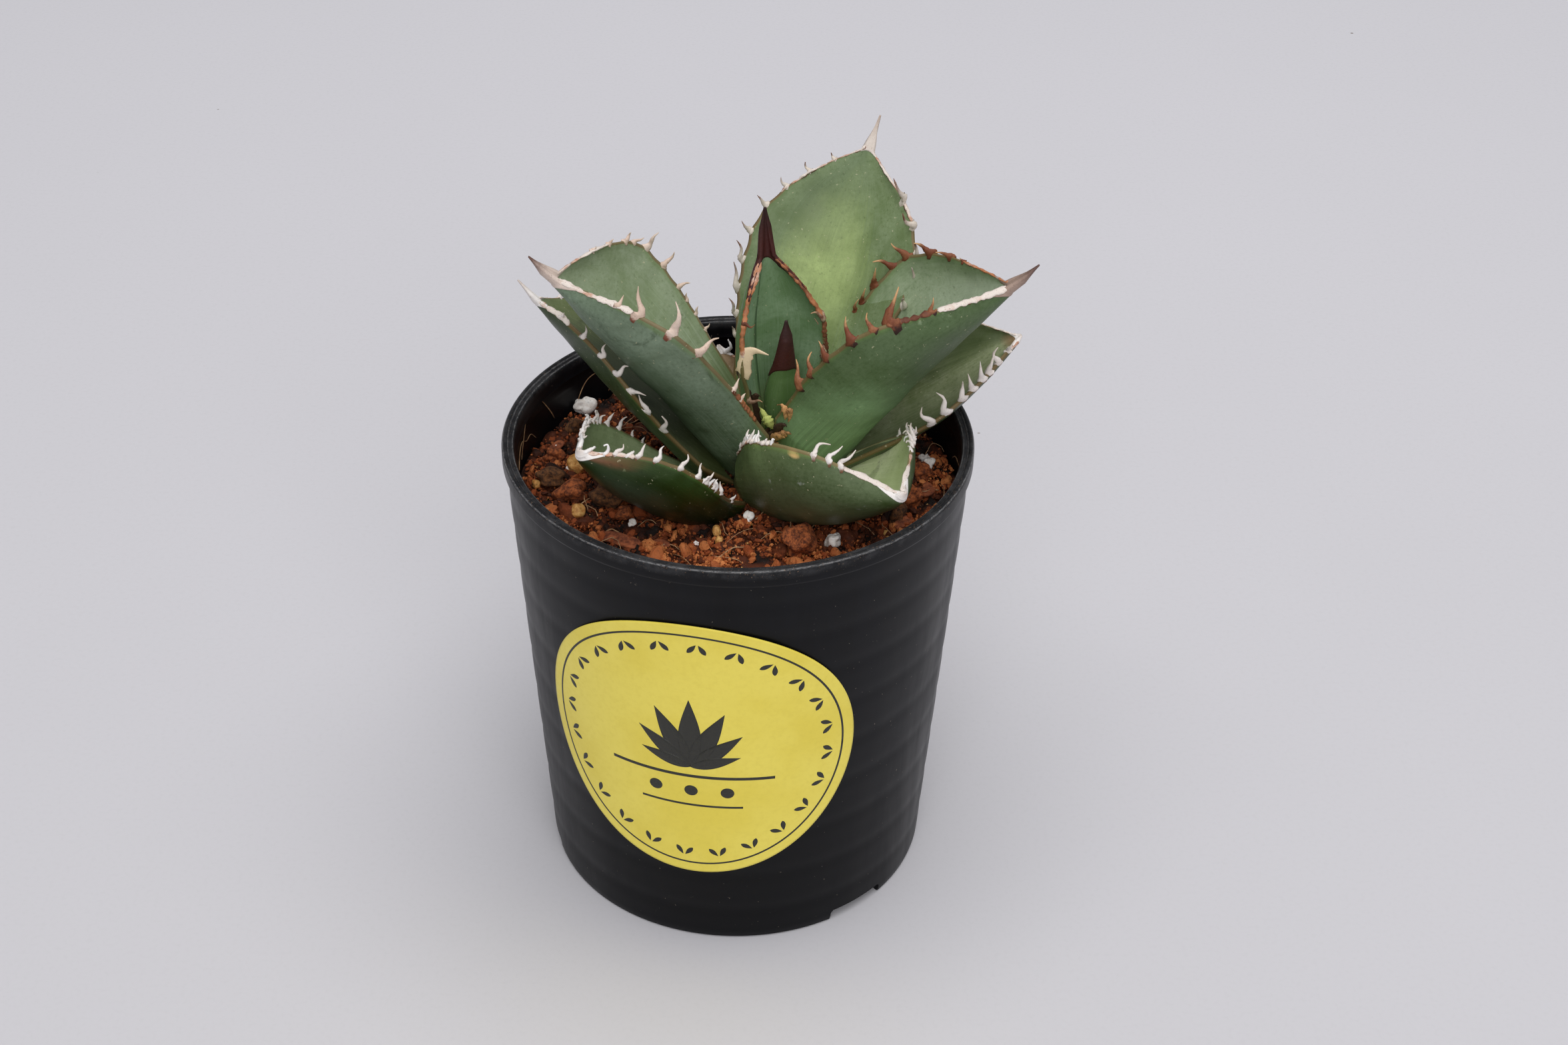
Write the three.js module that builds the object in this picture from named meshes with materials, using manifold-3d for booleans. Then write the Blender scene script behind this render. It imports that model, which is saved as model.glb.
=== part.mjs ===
// Potted agave: a young toothed rosette in a round plastic nursery pot filled with soil.
// Millimetres, +Z up, +X to the right of the front, +Y to the back.
// The origin is the middle of the pot's foot.
import * as THREE from 'three';
import { mergeVertices } from 'three/addons/utils/BufferGeometryUtils.js';
import Module from 'manifold-3d';

const wasm = await Module();
wasm.setup();

// ---- Driving dimensions ----
const GAP = 0.3;

const POT = {
  height: 95.3,
  footRadius: 38.3,
  shoulderRadius: 44.4,
  shoulder: 91.5,
  rimRadius: 45,
  wall: 1.2,
  lipWidth: 2.4,
  floorLift: 2.4,
  floorThick: 1.6,
  notchCount: 3,
  notchHeight: 2.6,
  notchWidth: 13,
  notchTurn: -50.5,
  drainCount: 6,
  drainRadius: 4,
  drainRing: 24,
  drainTurn: 15,
  lipDepth: 3.4,
};

// The label's width is laid round the wall at the wrap radius; lift is its air gap.
const LABEL = { radius: 31.6, thick: 0.25, turn: -102, height: 50.6, wrap: 41.7, lift: 0.28 };

const SOIL = { level: 84, mound: 1.6, lump: 0.7, rings: 8, spokes: 36, chips: 16 };

// The crown is the short stem with the grown-together leaf bases round it.
const CROWN = { x: 7, y: 5.5, top: 90.5, bottom: 68, radius: 10, dish: 12.5 };

// Each leaf: base point; heading and how far it turns; rise at base and tip; length and
// half-width; where it is widest; tip fullness; neck; gutter half-angle at base and tip;
// roll at base and tip; spine length and half-width; thickness at the base. Its teeth on the
// left and right margins are [place along the leaf, size, swing to the tip, lift].
const LEAVES = [
  {
    name: 'leaf_bud',
    base: [8, 5, 88.5], heading: 286, turn: 0, rise: [79, 91], bend: 1,
    length: 30.5, half: 3.6, widest: 0.59, tip: 1.7, neck: 0.65, gutter: [79, 60], roll: [-1, 0],
    spine: [10, 1.75], thick: 3,
    left: [],
    right: [],
  },
  {
    name: 'leaf_heart',
    base: [6, 7.5, 88], heading: 110, turn: 1, rise: [85, 86], bend: 1,
    length: 50, half: 11.5, widest: 0.63, tip: 1.7, neck: 0.55, gutter: [82, 75], roll: [9, 4],
    spine: [10, 1.3], thick: 3,
    left: [
      [0.28, 3.4, 20, 50], [0.405, 7.6, 50, 80], [0.603, 2.8, 20, 50],
    ],
    right: [
      [0.3, 4.2, 30, 60], [0.407, 7.5, 75, 150], [0.561, 4.6, 35, 105],
    ],
  },
  {
    name: 'leaf_back_large',
    base: [9, 9, 85.5], heading: 65, turn: -8, rise: [61, 52], bend: 1,
    length: 68, half: 16.5, widest: 0.63, tip: 1.9, neck: 0.7, gutter: [43, 6], roll: [4, 15],
    spine: [7.5, 0.65], thick: 4.5,
    left: [
      [0.288, 2.5, 50, 45], [0.347, 3.9, 55, 30], [0.418, 5.5, 68, 35], [0.494, 4.5, 62, 35],
      [0.576, 3.2, 35, 35], [0.657, 3.2, 35, 35], [0.722, 2.6, 45, 35], [0.782, 2.4, 50, 30],
      [0.835, 1.8, 50, 30],
    ],
    right: [
      [0.312, 3.6, 10, 60], [0.4, 4, 20, 70], [0.49, 4.4, 25, 80], [0.57, 4.4, 35, 90],
      [0.641, 4.4, 35, 95], [0.717, 6.2, 15, 115], [0.782, 6.8, 30, 120],
    ],
  },
  {
    name: 'leaf_right_upper',
    base: [13.5, 5, 85], heading: 346, turn: 2, rise: [54, 46], bend: 1,
    length: 65, half: 23.5, widest: 0.64, tip: 1.6, neck: 0.65, gutter: [97, 64], roll: [-12, -1],
    spine: [8, 1.2], thick: 4.5,
    left: [
      [0.357, 4, 65, 50], [0.392, 4.2, 65, 50], [0.454, 5, 60, 45], [0.535, 4.3, -35, 40],
      [0.591, 4.1, -5, 25], [0.672, 4, -15, 35], [0.73, 3.2, -35, 40], [0.765, 1.2, 10, 40],
    ],
    right: [
      [0.315, 4.9, 35, 45], [0.375, 4.1, 45, 50], [0.456, 3.5, 20, 35], [0.56, 4.5, 35, 45],
      [0.622, 3.4, 30, 45], [0.663, 7.6, 50, 80], [0.744, 3, 60, 45],
    ],
  },
  {
    name: 'leaf_left_upper',
    base: [2, 4.5, 86], heading: 195, turn: 1, rise: [54, 48], bend: 1,
    length: 65.5, half: 21, widest: 0.69, tip: 1.9, neck: 0.6, gutter: [73, 68], roll: [3, -6],
    spine: [7.5, 1.2], thick: 4.5,
    left: [
      [0.33, 1.6, 10, 40], [0.379, 2.6, 25, 50], [0.571, 4.6, -10, 30], [0.666, 6.3, 50, 50],
      [0.747, 5.9, 55, 60], [0.789, 2.4, 20, 50],
    ],
    right: [
      [0.32, 1.6, 20, 20], [0.375, 1.9, 45, 30], [0.423, 1.9, 60, 35], [0.469, 2.7, -20, 50],
      [0.548, 3.6, 15, 20], [0.628, 4, 20, 25], [0.676, 2.4, -20, 40], [0.705, 2.4, 30, 30],
      [0.756, 1.5, 15, 30], [0.802, 1.3, 15, 30],
    ],
  },
  {
    name: 'leaf_right_lower',
    base: [12.5, 7.5, 85], heading: 13, turn: -8, rise: [25, 34], bend: 1,
    length: 49, half: 16, widest: 0.57, tip: 1.9, neck: 0.65, gutter: [45, 45], roll: [13, 5],
    spine: [1.5, 0.6], thick: 4,
    left: [
      [0.5, 2.6, 10, 40], [0.6, 2.6, 10, 40], [0.7, 2.2, 10, 40], [0.78, 2, 10, 40],
      [0.85, 1.8, 10, 40],
    ],
    right: [
      [0.46, 3.4, 0, 50], [0.542, 5.1, 0, 65], [0.618, 5.8, 10, 70], [0.698, 5.2, 35, 50],
      [0.749, 4.6, 20, 55], [0.798, 5, 30, 55], [0.83, 5, 50, 60], [0.874, 4.3, 35, 55],
      [0.925, 3.6, 60, 30],
    ],
  },
  {
    name: 'leaf_left_lower',
    base: [0, 5.5, 84.5], heading: 173, turn: 4, rise: [38, 48], bend: 1,
    length: 57, half: 16, widest: 0.62, tip: 1.8, neck: 0.75, gutter: [42, 34], roll: [-15, 23],
    spine: [6, 0.7], thick: 4,
    left: [
      [0.357, 4.3, 50, 35], [0.448, 4.2, 70, 45], [0.536, 3.4, -55, 20], [0.61, 3.4, 0, 45],
      [0.679, 3.3, 40, 50], [0.752, 2.7, 45, 60], [0.83, 1.6, 30, 20],
    ],
    right: [
      [0.42, 3, 30, 20], [0.5, 3, 30, 20], [0.58, 3, 30, 20], [0.66, 3, 30, 20],
      [0.74, 2.6, 30, 20], [0.82, 2, 30, 20],
    ],
  },
  {
    name: 'leaf_front_right',
    base: [4.5, 1, 83.5], heading: 301, turn: 22, rise: [3, 41], bend: 0.8,
    length: 43.5, half: 22, widest: 0.5, tip: 3.3, neck: 0.55, gutter: [69, 83], roll: [-21, -18],
    spine: [1.5, 0.8], thick: 5,
    left: [
      [0.55, 1.6, 20, 20], [0.66, 2.2, 10, 20], [0.75, 2.6, 60, 25], [0.78, 3, 20, 20],
      [0.81, 2.6, -5, 35],
    ],
    right: [
      [0.24, 2.2, -20, 40], [0.31, 2.4, 20, 45], [0.37, 2.6, -10, 40], [0.43, 2.4, 20, 40],
      [0.49, 2.2, 0, 40], [0.8, 4.4, 35, 95], [0.846, 4.2, 40, 80], [0.872, 4.5, 60, 65],
    ],
  },
  {
    name: 'leaf_front_left',
    base: [1.5, 0.5, 81.5], heading: 219, turn: -4, rise: [3, 57], bend: 0.8,
    length: 47, half: 16, widest: 0.59, tip: 2.9, neck: 0.4, gutter: [47, 70], roll: [-3, 11],
    spine: [1.5, 0.9], thick: 5,
    left: [
      [0.31, 1.6, -20, 20], [0.45, 2.4, 30, 60], [0.52, 1.8, 0, 35], [0.575, 2.4, -15, 30],
      [0.634, 2.8, 20, 50], [0.729, 2.8, 5, 35], [0.821, 3, 5, 45], [0.871, 2.7, 10, 35],
      [0.92, 2.4, -15, 30],
    ],
    right: [
      [0.416, 1.2, -10, 45], [0.473, 1.4, 5, 35], [0.554, 3, -15, 45], [0.637, 2.8, -10, 40],
      [0.7, 2, -20, 40], [0.76, 1.8, -20, 40], [0.82, 1.8, -20, 40], [0.88, 1.8, -30, 40],
      [0.93, 1.6, -30, 40],
    ],
  },
  {
    name: 'leaf_back_dry',
    base: [5, 11, 84.5], heading: 118, turn: 0, rise: [22, 48], bend: 1,
    length: 24, half: 6, widest: 0.55, tip: 1.8, neck: 0.7, gutter: [40, 70], roll: [0, 0],
    spine: [2, 0.7], thick: 2.5,
    left: [
      [0.55, 2.6, 20, 50], [0.68, 2.4, 20, 50], [0.8, 2, 20, 50],
    ],
    right: [
      [0.5, 2.6, 20, 50], [0.64, 2.4, 20, 50], [0.78, 2, 20, 50],
    ],
  },
];

const COLOURS = {
  pot: '#1b1c1f',
  label: '#d6d24e',
  soil: '#7a4526',
  crown: '#7d8a52',
  leaf: '#5c7f58',
  heart: '#4f7a4c',
  dry: '#a58a62',
};

// ---- Small helpers ----
const rad = (degrees) => (degrees * Math.PI) / 180;
const mix = (a, b, t) => a + (b - a) * t;
const clamp01 = (v) => Math.min(1, Math.max(0, v));

function makeRandom(seed) {
  let state = seed >>> 0;
  return () => {
    state = (Math.imul(state, 1664525) + 1013904223) >>> 0;
    return state / 4294967296;
  };
}

function toManifold(geometry) {
  const bare = geometry.clone();
  bare.deleteAttribute('normal');
  bare.deleteAttribute('uv');
  const welded = mergeVertices(bare, 1e-4);
  const mesh = new wasm.Mesh({
    numProp: 3,
    vertProperties: new Float32Array(welded.attributes.position.array),
    triVerts: new Uint32Array(welded.index.array),
  });
  return new wasm.Manifold(mesh);
}

function toGeometry(solid) {
  const mesh = solid.getMesh();
  const geometry = new THREE.BufferGeometry();
  geometry.setAttribute('position', new THREE.BufferAttribute(mesh.vertProperties, 3));
  geometry.setIndex(new THREE.BufferAttribute(mesh.triVerts, 1));
  geometry.computeVertexNormals();
  return geometry;
}

// The largest separate body of a solid; cuts can leave crumbs.
function largestPart(solid) {
  const parts = solid.decompose();
  parts.sort((a, b) => b.volume() - a.volume());
  return parts[0];
}

// Skin closed rings of equal point count, with a flat fan over each end.
function loft(rings) {
  const count = rings[0].length;
  const points = [];
  const faces = [];
  for (const ring of rings) {
    for (const p of ring) points.push(p.x, p.y, p.z);
  }
  for (let i = 0; i + 1 < rings.length; i++) {
    for (let j = 0; j < count; j++) {
      const k = (j + 1) % count;
      const a = i * count + j;
      const b = i * count + k;
      const c = a + count;
      const d = b + count;
      // Both faces of a blade are split along matching diagonals.
      if (j < count / 2) faces.push(a, b, d, a, d, c);
      else faces.push(a, b, c, b, d, c);
    }
  }
  const last = (rings.length - 1) * count;
  for (const [start, flip] of [[0, true], [last, false]]) {
    const middle = points.length / 3;
    const centre = new THREE.Vector3();
    for (let j = 0; j < count; j++) {
      centre.add(new THREE.Vector3().fromArray(points, (start + j) * 3));
    }
    centre.divideScalar(count);
    points.push(centre.x, centre.y, centre.z);
    for (let j = 0; j < count; j++) {
      const k = (j + 1) % count;
      if (flip) faces.push(middle, start + k, start + j);
      else faces.push(middle, start + j, start + k);
    }
  }
  const geometry = new THREE.BufferGeometry();
  geometry.setAttribute('position', new THREE.Float32BufferAttribute(points, 3));
  geometry.setIndex(faces);
  return geometry;
}

// ---- Leaf shape ----
// Direction of the leaf's middle line at t, 0 at the base and 1 at the spine's point.
function directionAt(leaf, t) {
  const heading = rad(leaf.heading + leaf.turn * t);
  const rise = rad(mix(leaf.rise[0], leaf.rise[1], Math.max(t, 0) ** leaf.bend));
  const level = Math.cos(rise);
  return new THREE.Vector3(
    level * Math.cos(heading),
    level * Math.sin(heading),
    Math.sin(rise),
  );
}

function middleLine(leaf) {
  const steps = 80;
  const line = [new THREE.Vector3(...leaf.base)];
  for (let i = 0; i < steps; i++) {
    const next = line[i].clone();
    next.addScaledVector(directionAt(leaf, (i + 0.5) / steps), leaf.length / steps);
    line.push(next);
  }
  return (t) => {
    const i = Math.max(0, Math.min(steps - 1, Math.floor(t * steps)));
    return line[i].clone().lerp(line[i + 1], t * steps - i);
  };
}

function frameAt(leaf, t) {
  const along = directionAt(leaf, t);
  const heading = rad(leaf.heading + leaf.turn * t);
  const flat = new THREE.Vector3(-Math.sin(heading), Math.cos(heading), 0);
  const upright = along.clone().cross(flat);
  const roll = rad(mix(leaf.roll[0], leaf.roll[1], t));
  const side = flat.multiplyScalar(Math.cos(roll)).addScaledVector(upright, Math.sin(roll));
  const face = along.clone().cross(side);
  return { along, side, face };
}

const bladeEnd = (leaf) => 1 - leaf.spine[0] / leaf.length;

function halfWidth(leaf, t) {
  const end = bladeEnd(leaf);
  if (t > end) return leaf.spine[1] * (1 - (t - end) / (1 - end)) ** 1.3 + 0.1;
  const q = t / end;
  if (q < leaf.widest) {
    const x = q / leaf.widest;
    const root = mix(0.6, 1, clamp01(q / 0.16));
    return leaf.half * mix(leaf.neck, 1, x * x * (3 - 2 * x)) * root;
  }
  const y = (q - leaf.widest) / (1 - leaf.widest);
  return mix(leaf.half, leaf.spine[1], y ** leaf.tip);
}

// Thickness over the middle of the leaf and at its margins.
function thicknessAt(leaf, t) {
  const end = bladeEnd(leaf);
  const half = halfWidth(leaf, t);
  const body = t < end ? leaf.thick * (1 - 0.72 * (Math.max(t, 0) / end) ** 1.2) : 0;
  const middle = Math.max(body, Math.min(1.1, 1.7 * half));
  return [middle, Math.min(0.8, middle)];
}

// Point on the leaf: u runs from -1 at the right margin to 1 at the left, depth from 0 on
// the inner face to 1 on the outer face. Swell grows the blade all round.
function leafPoint(leaf, line, t, u, depth, swell) {
  const { side, face } = frameAt(leaf, t);
  const gutter = Math.max(rad(mix(leaf.gutter[0], leaf.gutter[1], t)), 0.02);
  const half = halfWidth(leaf, t) + swell;
  const [middle, margin] = thicknessAt(leaf, t);
  const thick = mix(margin, middle, 1 - u * u);
  const off = mix(-swell, thick + swell, depth);
  const radius = half / gutter;
  const angle = u * gutter;
  const across = radius * Math.sin(angle) + off * Math.sin(angle);
  const up = radius * (1 - Math.cos(angle)) - off * Math.cos(angle);
  return line(t).addScaledVector(side, across).addScaledVector(face, up);
}

function bladeSolid(leaf, swell, stations, columns) {
  const line = middleLine(leaf);
  const end = bladeEnd(leaf);
  const marks = [(-2 * swell) / leaf.length];
  for (let i = 1; i <= stations; i++) marks.push((end * i) / stations);
  for (const share of [0.3, 0.65, 0.97]) marks.push(mix(end, 1, share));
  const rings = marks.map((t) => {
    const ring = [];
    for (let j = columns; j >= 0; j--) {
      ring.push(leafPoint(leaf, line, t, (2 * j) / columns - 1, 0, swell));
    }
    for (let j = 0; j <= columns; j++) {
      ring.push(leafPoint(leaf, line, t, (2 * j) / columns - 1, 1, swell));
    }
    return ring;
  });
  return toManifold(loft(rings));
}

// A hooked tooth on the left (1) or right (-1) margin: three-sided, root sunk in the blade.
function toothSolid(leaf, line, t, sign, size, swing, lift, swell) {
  const { along, side, face } = frameAt(leaf, t);
  const gutter = Math.max(rad(mix(leaf.gutter[0], leaf.gutter[1], t)), 0.02);
  const angle = sign * gutter;
  const out = side.clone().multiplyScalar(Math.cos(angle));
  out.addScaledVector(face, Math.sin(angle)).multiplyScalar(sign);
  const normal = face.clone().multiplyScalar(Math.cos(angle));
  normal.addScaledVector(side, -Math.sin(angle));
  const root = leafPoint(leaf, line, t, sign, 0.5, 0);
  const start = out.clone().multiplyScalar(0.97).addScaledVector(normal, 0.25);
  const goal = out.clone().multiplyScalar(Math.cos(rad(swing)) * Math.cos(rad(lift)));
  goal.addScaledVector(normal, Math.cos(rad(swing)) * Math.sin(rad(lift)));
  goal.addScaledVector(along, Math.sin(rad(swing)));
  // A tooth that points along its margin, or back over the blade, bends sooner.
  const bend = 0.5 * Math.cos(rad(swing)) * Math.cos(rad(lift) / 2);
  const broad = 0.2 * size + 0.45;
  const end = 1 + (2 * swell) / size;
  const shape = [[-0.3, 1.1], [0.2, 0.68], [0.58, 0.34], [end, 0.06]];
  const rings = shape.map(([s, w]) => {
    const bow = Math.max(0, s);
    const centre = root.clone();
    centre.addScaledVector(start, size * (bow > 0 ? bend * (2 * bow - bow * bow) : s));
    centre.addScaledVector(goal, size * ((1 - bend) * bow * bow + 0.06 * bow));
    const wide = sign * (broad * w + 2 * swell);
    const thin = Math.min(broad * w, 0.42 * w + 0.12) + 2 * swell;
    const back = centre.clone().addScaledVector(normal, -0.8 * thin);
    return [
      back.clone().addScaledVector(along, -wide),
      centre.clone().addScaledVector(normal, 1.2 * thin),
      back.clone().addScaledVector(along, wide),
    ];
  });
  return toManifold(loft(rings));
}

// A whole leaf; with swell it is the room that an older leaf leaves round it.
function leafSolid(leaf, swell) {
  const line = middleLine(leaf);
  const parts = [bladeSolid(leaf, swell, leaf.length > 31 ? 12 : 7, 6)];
  for (const [row, sign] of [[leaf.left, 1], [leaf.right, -1]]) {
    for (const [t, size, swing, lift] of row) {
      parts.push(toothSolid(leaf, line, t, sign, size, swing, lift, swell));
    }
  }
  return wasm.Manifold.union(parts);
}

// ---- Pot ----
const potOuter = (z) => mix(POT.footRadius, POT.shoulderRadius, z / POT.shoulder);
const potInner = (z) => potOuter(z) - POT.wall;

function turned(profile, segments) {
  const points = profile.map(([r, z]) => new THREE.Vector2(r, z));
  const geometry = new THREE.LatheGeometry(points, segments);
  geometry.rotateX(Math.PI / 2);
  return geometry;
}

function potSolid() {
  const top = POT.height;
  const inner = POT.rimRadius - POT.lipWidth;
  const floor = POT.floorLift + POT.floorThick;
  const profile = [[0, 0], [6, 0], [6.4, POT.floorLift], [POT.footRadius - 3, POT.floorLift]];
  profile.push([POT.footRadius - 2.4, 0], [POT.footRadius - 0.4, 0]);
  profile.push([potOuter(0.6), 0.6]);
  profile.push([POT.shoulderRadius, POT.shoulder], [POT.rimRadius, POT.shoulder + 0.6]);
  profile.push([POT.rimRadius, top - 0.5]);
  profile.push([POT.rimRadius - 0.5, top], [POT.rimRadius - 1.2, top]);
  profile.push([POT.rimRadius - 1.5, top - 0.6], [inner, top - 0.9]);
  profile.push([inner - 0.1, top - POT.lipDepth], [potInner(88), 88]);
  profile.push([potInner(floor), floor], [0, floor]);
  let pot = toManifold(turned(profile, 56));
  const cuts = [];
  for (let i = 0; i < POT.notchCount; i++) {
    const box = new THREE.BoxGeometry(9, POT.notchWidth, POT.notchHeight);
    box.translate(POT.footRadius, 0, POT.notchHeight / 2 - 0.01);
    box.rotateZ(rad(POT.notchTurn + (360 / POT.notchCount) * i));
    cuts.push(toManifold(box));
  }
  for (let i = 0; i < POT.drainCount; i++) {
    const hole = new THREE.CylinderGeometry(POT.drainRadius, POT.drainRadius, 8, 14);
    hole.rotateX(Math.PI / 2);
    hole.translate(POT.drainRing, 0, 3);
    hole.rotateZ(rad((360 / POT.drainCount) * i + POT.drainTurn));
    cuts.push(toManifold(hole));
  }
  for (const cut of cuts) pot = pot.subtract(cut);
  return pot;
}

// ---- Label: a round sheet wrapped on the wall ----
function labelSolid() {
  const spokes = 28;
  const rounds = 5;
  const points = [];
  const faces = [];
  const place = (across, up, lift) => {
    const z = LABEL.height + up;
    const r = potOuter(z) + lift;
    const turn = rad(LABEL.turn) + across / LABEL.wrap;
    points.push(r * Math.cos(turn), r * Math.sin(turn), z);
  };
  for (const lift of [LABEL.lift, LABEL.lift + LABEL.thick]) {
    place(0, 0, lift);
    for (let ring = 1; ring <= rounds; ring++) {
      const r = (LABEL.radius * ring) / rounds;
      for (let j = 0; j < spokes; j++) {
        const a = (2 * Math.PI * j) / spokes;
        place(r * Math.cos(a), r * Math.sin(a), lift);
      }
    }
  }
  const sheet = 1 + rounds * spokes;
  for (let j = 0; j < spokes; j++) {
    const k = (j + 1) % spokes;
    for (const [start, flip] of [[0, true], [sheet, false]]) {
      const tri = (a, b, c) => (flip ? faces.push(a, c, b) : faces.push(a, b, c));
      tri(start, start + 1 + j, start + 1 + k);
      for (let ring = 0; ring + 1 < rounds; ring++) {
        const a = start + 1 + ring * spokes + j;
        const b = start + 1 + ring * spokes + k;
        tri(a, a + spokes, b + spokes);
        tri(a, b + spokes, b);
      }
    }
    const a = 1 + (rounds - 1) * spokes + j;
    const b = 1 + (rounds - 1) * spokes + k;
    faces.push(a, b, b + sheet, a, b + sheet, a + sheet);
  }
  const geometry = new THREE.BufferGeometry();
  geometry.setAttribute('position', new THREE.Float32BufferAttribute(points, 3));
  geometry.setIndex(faces);
  return toManifold(geometry);
}

// ---- Soil ----
function soilHeight(x, y) {
  const out = Math.hypot(x - CROWN.x, y - CROWN.y) / 40;
  const lumps =
    Math.sin(0.31 * x + 1.1) * Math.cos(0.27 * y - 0.6) +
    0.6 * Math.sin(0.53 * x - 0.47 * y + 2) +
    0.4 * Math.cos(0.83 * y + 0.39 * x);
  return SOIL.level + SOIL.mound * (1 - clamp01(out)) - 0.8 + SOIL.lump * lumps * 0.6;
}

function soilSolid() {
  const floor = POT.floorLift + POT.floorThick + GAP;
  const points = [];
  const faces = [];
  const edge = (z) => potInner(z) - GAP;
  const levels = [floor, 44];
  for (const z of levels) {
    for (let j = 0; j < SOIL.spokes; j++) {
      const a = (2 * Math.PI * j) / SOIL.spokes;
      points.push(edge(z) * Math.cos(a), edge(z) * Math.sin(a), z);
    }
  }
  for (let ring = SOIL.rings; ring > 0; ring--) {
    for (let j = 0; j < SOIL.spokes; j++) {
      const a = (2 * Math.PI * j) / SOIL.spokes;
      const r = (edge(SOIL.level - 2) * ring) / SOIL.rings;
      points.push(r * Math.cos(a), r * Math.sin(a), soilHeight(r * Math.cos(a), r * Math.sin(a)));
    }
  }
  const rows = levels.length + SOIL.rings;
  for (let i = 0; i + 1 < rows; i++) {
    for (let j = 0; j < SOIL.spokes; j++) {
      const a = i * SOIL.spokes + j;
      const b = i * SOIL.spokes + ((j + 1) % SOIL.spokes);
      faces.push(a, b, b + SOIL.spokes, a, b + SOIL.spokes, a + SOIL.spokes);
    }
  }
  const bottom = points.length / 3;
  points.push(0, 0, floor, 0, 0, soilHeight(0, 0));
  for (let j = 0; j < SOIL.spokes; j++) {
    const k = (j + 1) % SOIL.spokes;
    const last = (rows - 1) * SOIL.spokes;
    faces.push(bottom, k, j, bottom + 1, last + j, last + k);
  }
  const geometry = new THREE.BufferGeometry();
  geometry.setAttribute('position', new THREE.Float32BufferAttribute(points, 3));
  geometry.setIndex(faces);
  const parts = [toManifold(geometry)];
  const random = makeRandom(7);
  for (let i = 0; i < SOIL.chips; i++) {
    const turn = 2 * Math.PI * random();
    const out = 14 + 23.5 * Math.sqrt(random());
    const size = 1.4 + 1.5 * random();
    const x = out * Math.cos(turn);
    const y = out * Math.sin(turn);
    const chip = new THREE.IcosahedronGeometry(size, 0);
    chip.scale(1, 0.7 + 0.3 * random(), 0.6 + 0.3 * random());
    chip.rotateZ(6 * random());
    chip.rotateX(random() - 0.5);
    chip.translate(x, y, soilHeight(x, y) + 0.15 * size);
    parts.push(toManifold(chip));
  }
  return wasm.Manifold.union(parts);
}

// ---- Crown ----
function crownSolid(grow) {
  const r = CROWN.radius + grow;
  const profile = [
    [0, CROWN.bottom - grow],
    [0.5 * r, CROWN.bottom - grow],
    [0.8 * r, CROWN.bottom + 5],
    [r, CROWN.top - 8],
    [0.8 * r, CROWN.top - 4],
    [0.35 * r, CROWN.top - 0.6 + grow],
    [0, CROWN.top + grow],
  ];
  return toManifold(turned(profile, 18).translate(CROWN.x, CROWN.y, 0));
}

// A shallow dish in the soil that the lowest leaf bases sit in.
function dishSolid() {
  const profile = [[0, 76], [CROWN.radius, 76], [CROWN.dish, SOIL.level + 4], [0, SOIL.level + 4]];
  return toManifold(turned(profile, 18).translate(CROWN.x, CROWN.y, 0));
}

// ---- Assembly ----
const model = new THREE.Group();
model.name = 'potted_agave';

function addNode(name, solid, colour, roughness) {
  const material = new THREE.MeshStandardMaterial({ color: colour, roughness, metalness: 0 });
  material.name = name;
  const mesh = new THREE.Mesh(toGeometry(solid), material);
  mesh.name = name;
  model.add(mesh);
}

const potBody = potSolid();
const crownRoom = crownSolid(GAP);

// Each leaf gives way to the younger ones inside it, which come first in the list.
const rooms = [];
let soilBody = soilSolid().subtract(crownRoom).subtract(dishSolid());
LEAVES.forEach((leaf, index) => {
  let body = leafSolid(leaf, 0).subtract(crownRoom);
  for (const room of rooms) body = body.subtract(room);
  body = largestPart(body);
  rooms.push(leafSolid(leaf, GAP));
  soilBody = soilBody.subtract(rooms[index]);
  const colour = index < 2 ? COLOURS.heart : COLOURS.leaf;
  addNode(leaf.name, body, leaf.name === 'leaf_back_dry' ? COLOURS.dry : colour, 0.6);
});

addNode('pot', potBody, COLOURS.pot, 0.45);
addNode('label', labelSolid(), COLOURS.label, 0.5);
addNode('soil', largestPart(soilBody), COLOURS.soil, 0.95);
addNode('crown', crownSolid(0), COLOURS.crown, 0.7);

export default model;
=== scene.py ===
import math

import bmesh
import bpy
import numpy as np
from mathutils import Matrix, Vector


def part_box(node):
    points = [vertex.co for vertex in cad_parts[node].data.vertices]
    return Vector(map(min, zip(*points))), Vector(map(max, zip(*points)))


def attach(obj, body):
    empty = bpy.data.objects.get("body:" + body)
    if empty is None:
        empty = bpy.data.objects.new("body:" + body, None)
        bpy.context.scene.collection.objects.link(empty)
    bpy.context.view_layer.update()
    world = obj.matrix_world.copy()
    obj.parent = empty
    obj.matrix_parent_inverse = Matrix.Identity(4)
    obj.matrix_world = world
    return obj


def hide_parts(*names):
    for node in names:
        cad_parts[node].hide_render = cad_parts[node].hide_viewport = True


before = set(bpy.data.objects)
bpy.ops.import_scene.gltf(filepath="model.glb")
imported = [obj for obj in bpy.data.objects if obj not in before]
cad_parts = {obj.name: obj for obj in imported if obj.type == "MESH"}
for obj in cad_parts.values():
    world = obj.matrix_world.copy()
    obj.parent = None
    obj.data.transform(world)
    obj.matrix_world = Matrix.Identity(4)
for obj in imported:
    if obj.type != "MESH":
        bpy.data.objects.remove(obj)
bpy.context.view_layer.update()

# Sizes are in millimetres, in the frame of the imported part, and are brought to metres
# when a mesh is made. Angles are in degrees.
MM = 0.001

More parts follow.
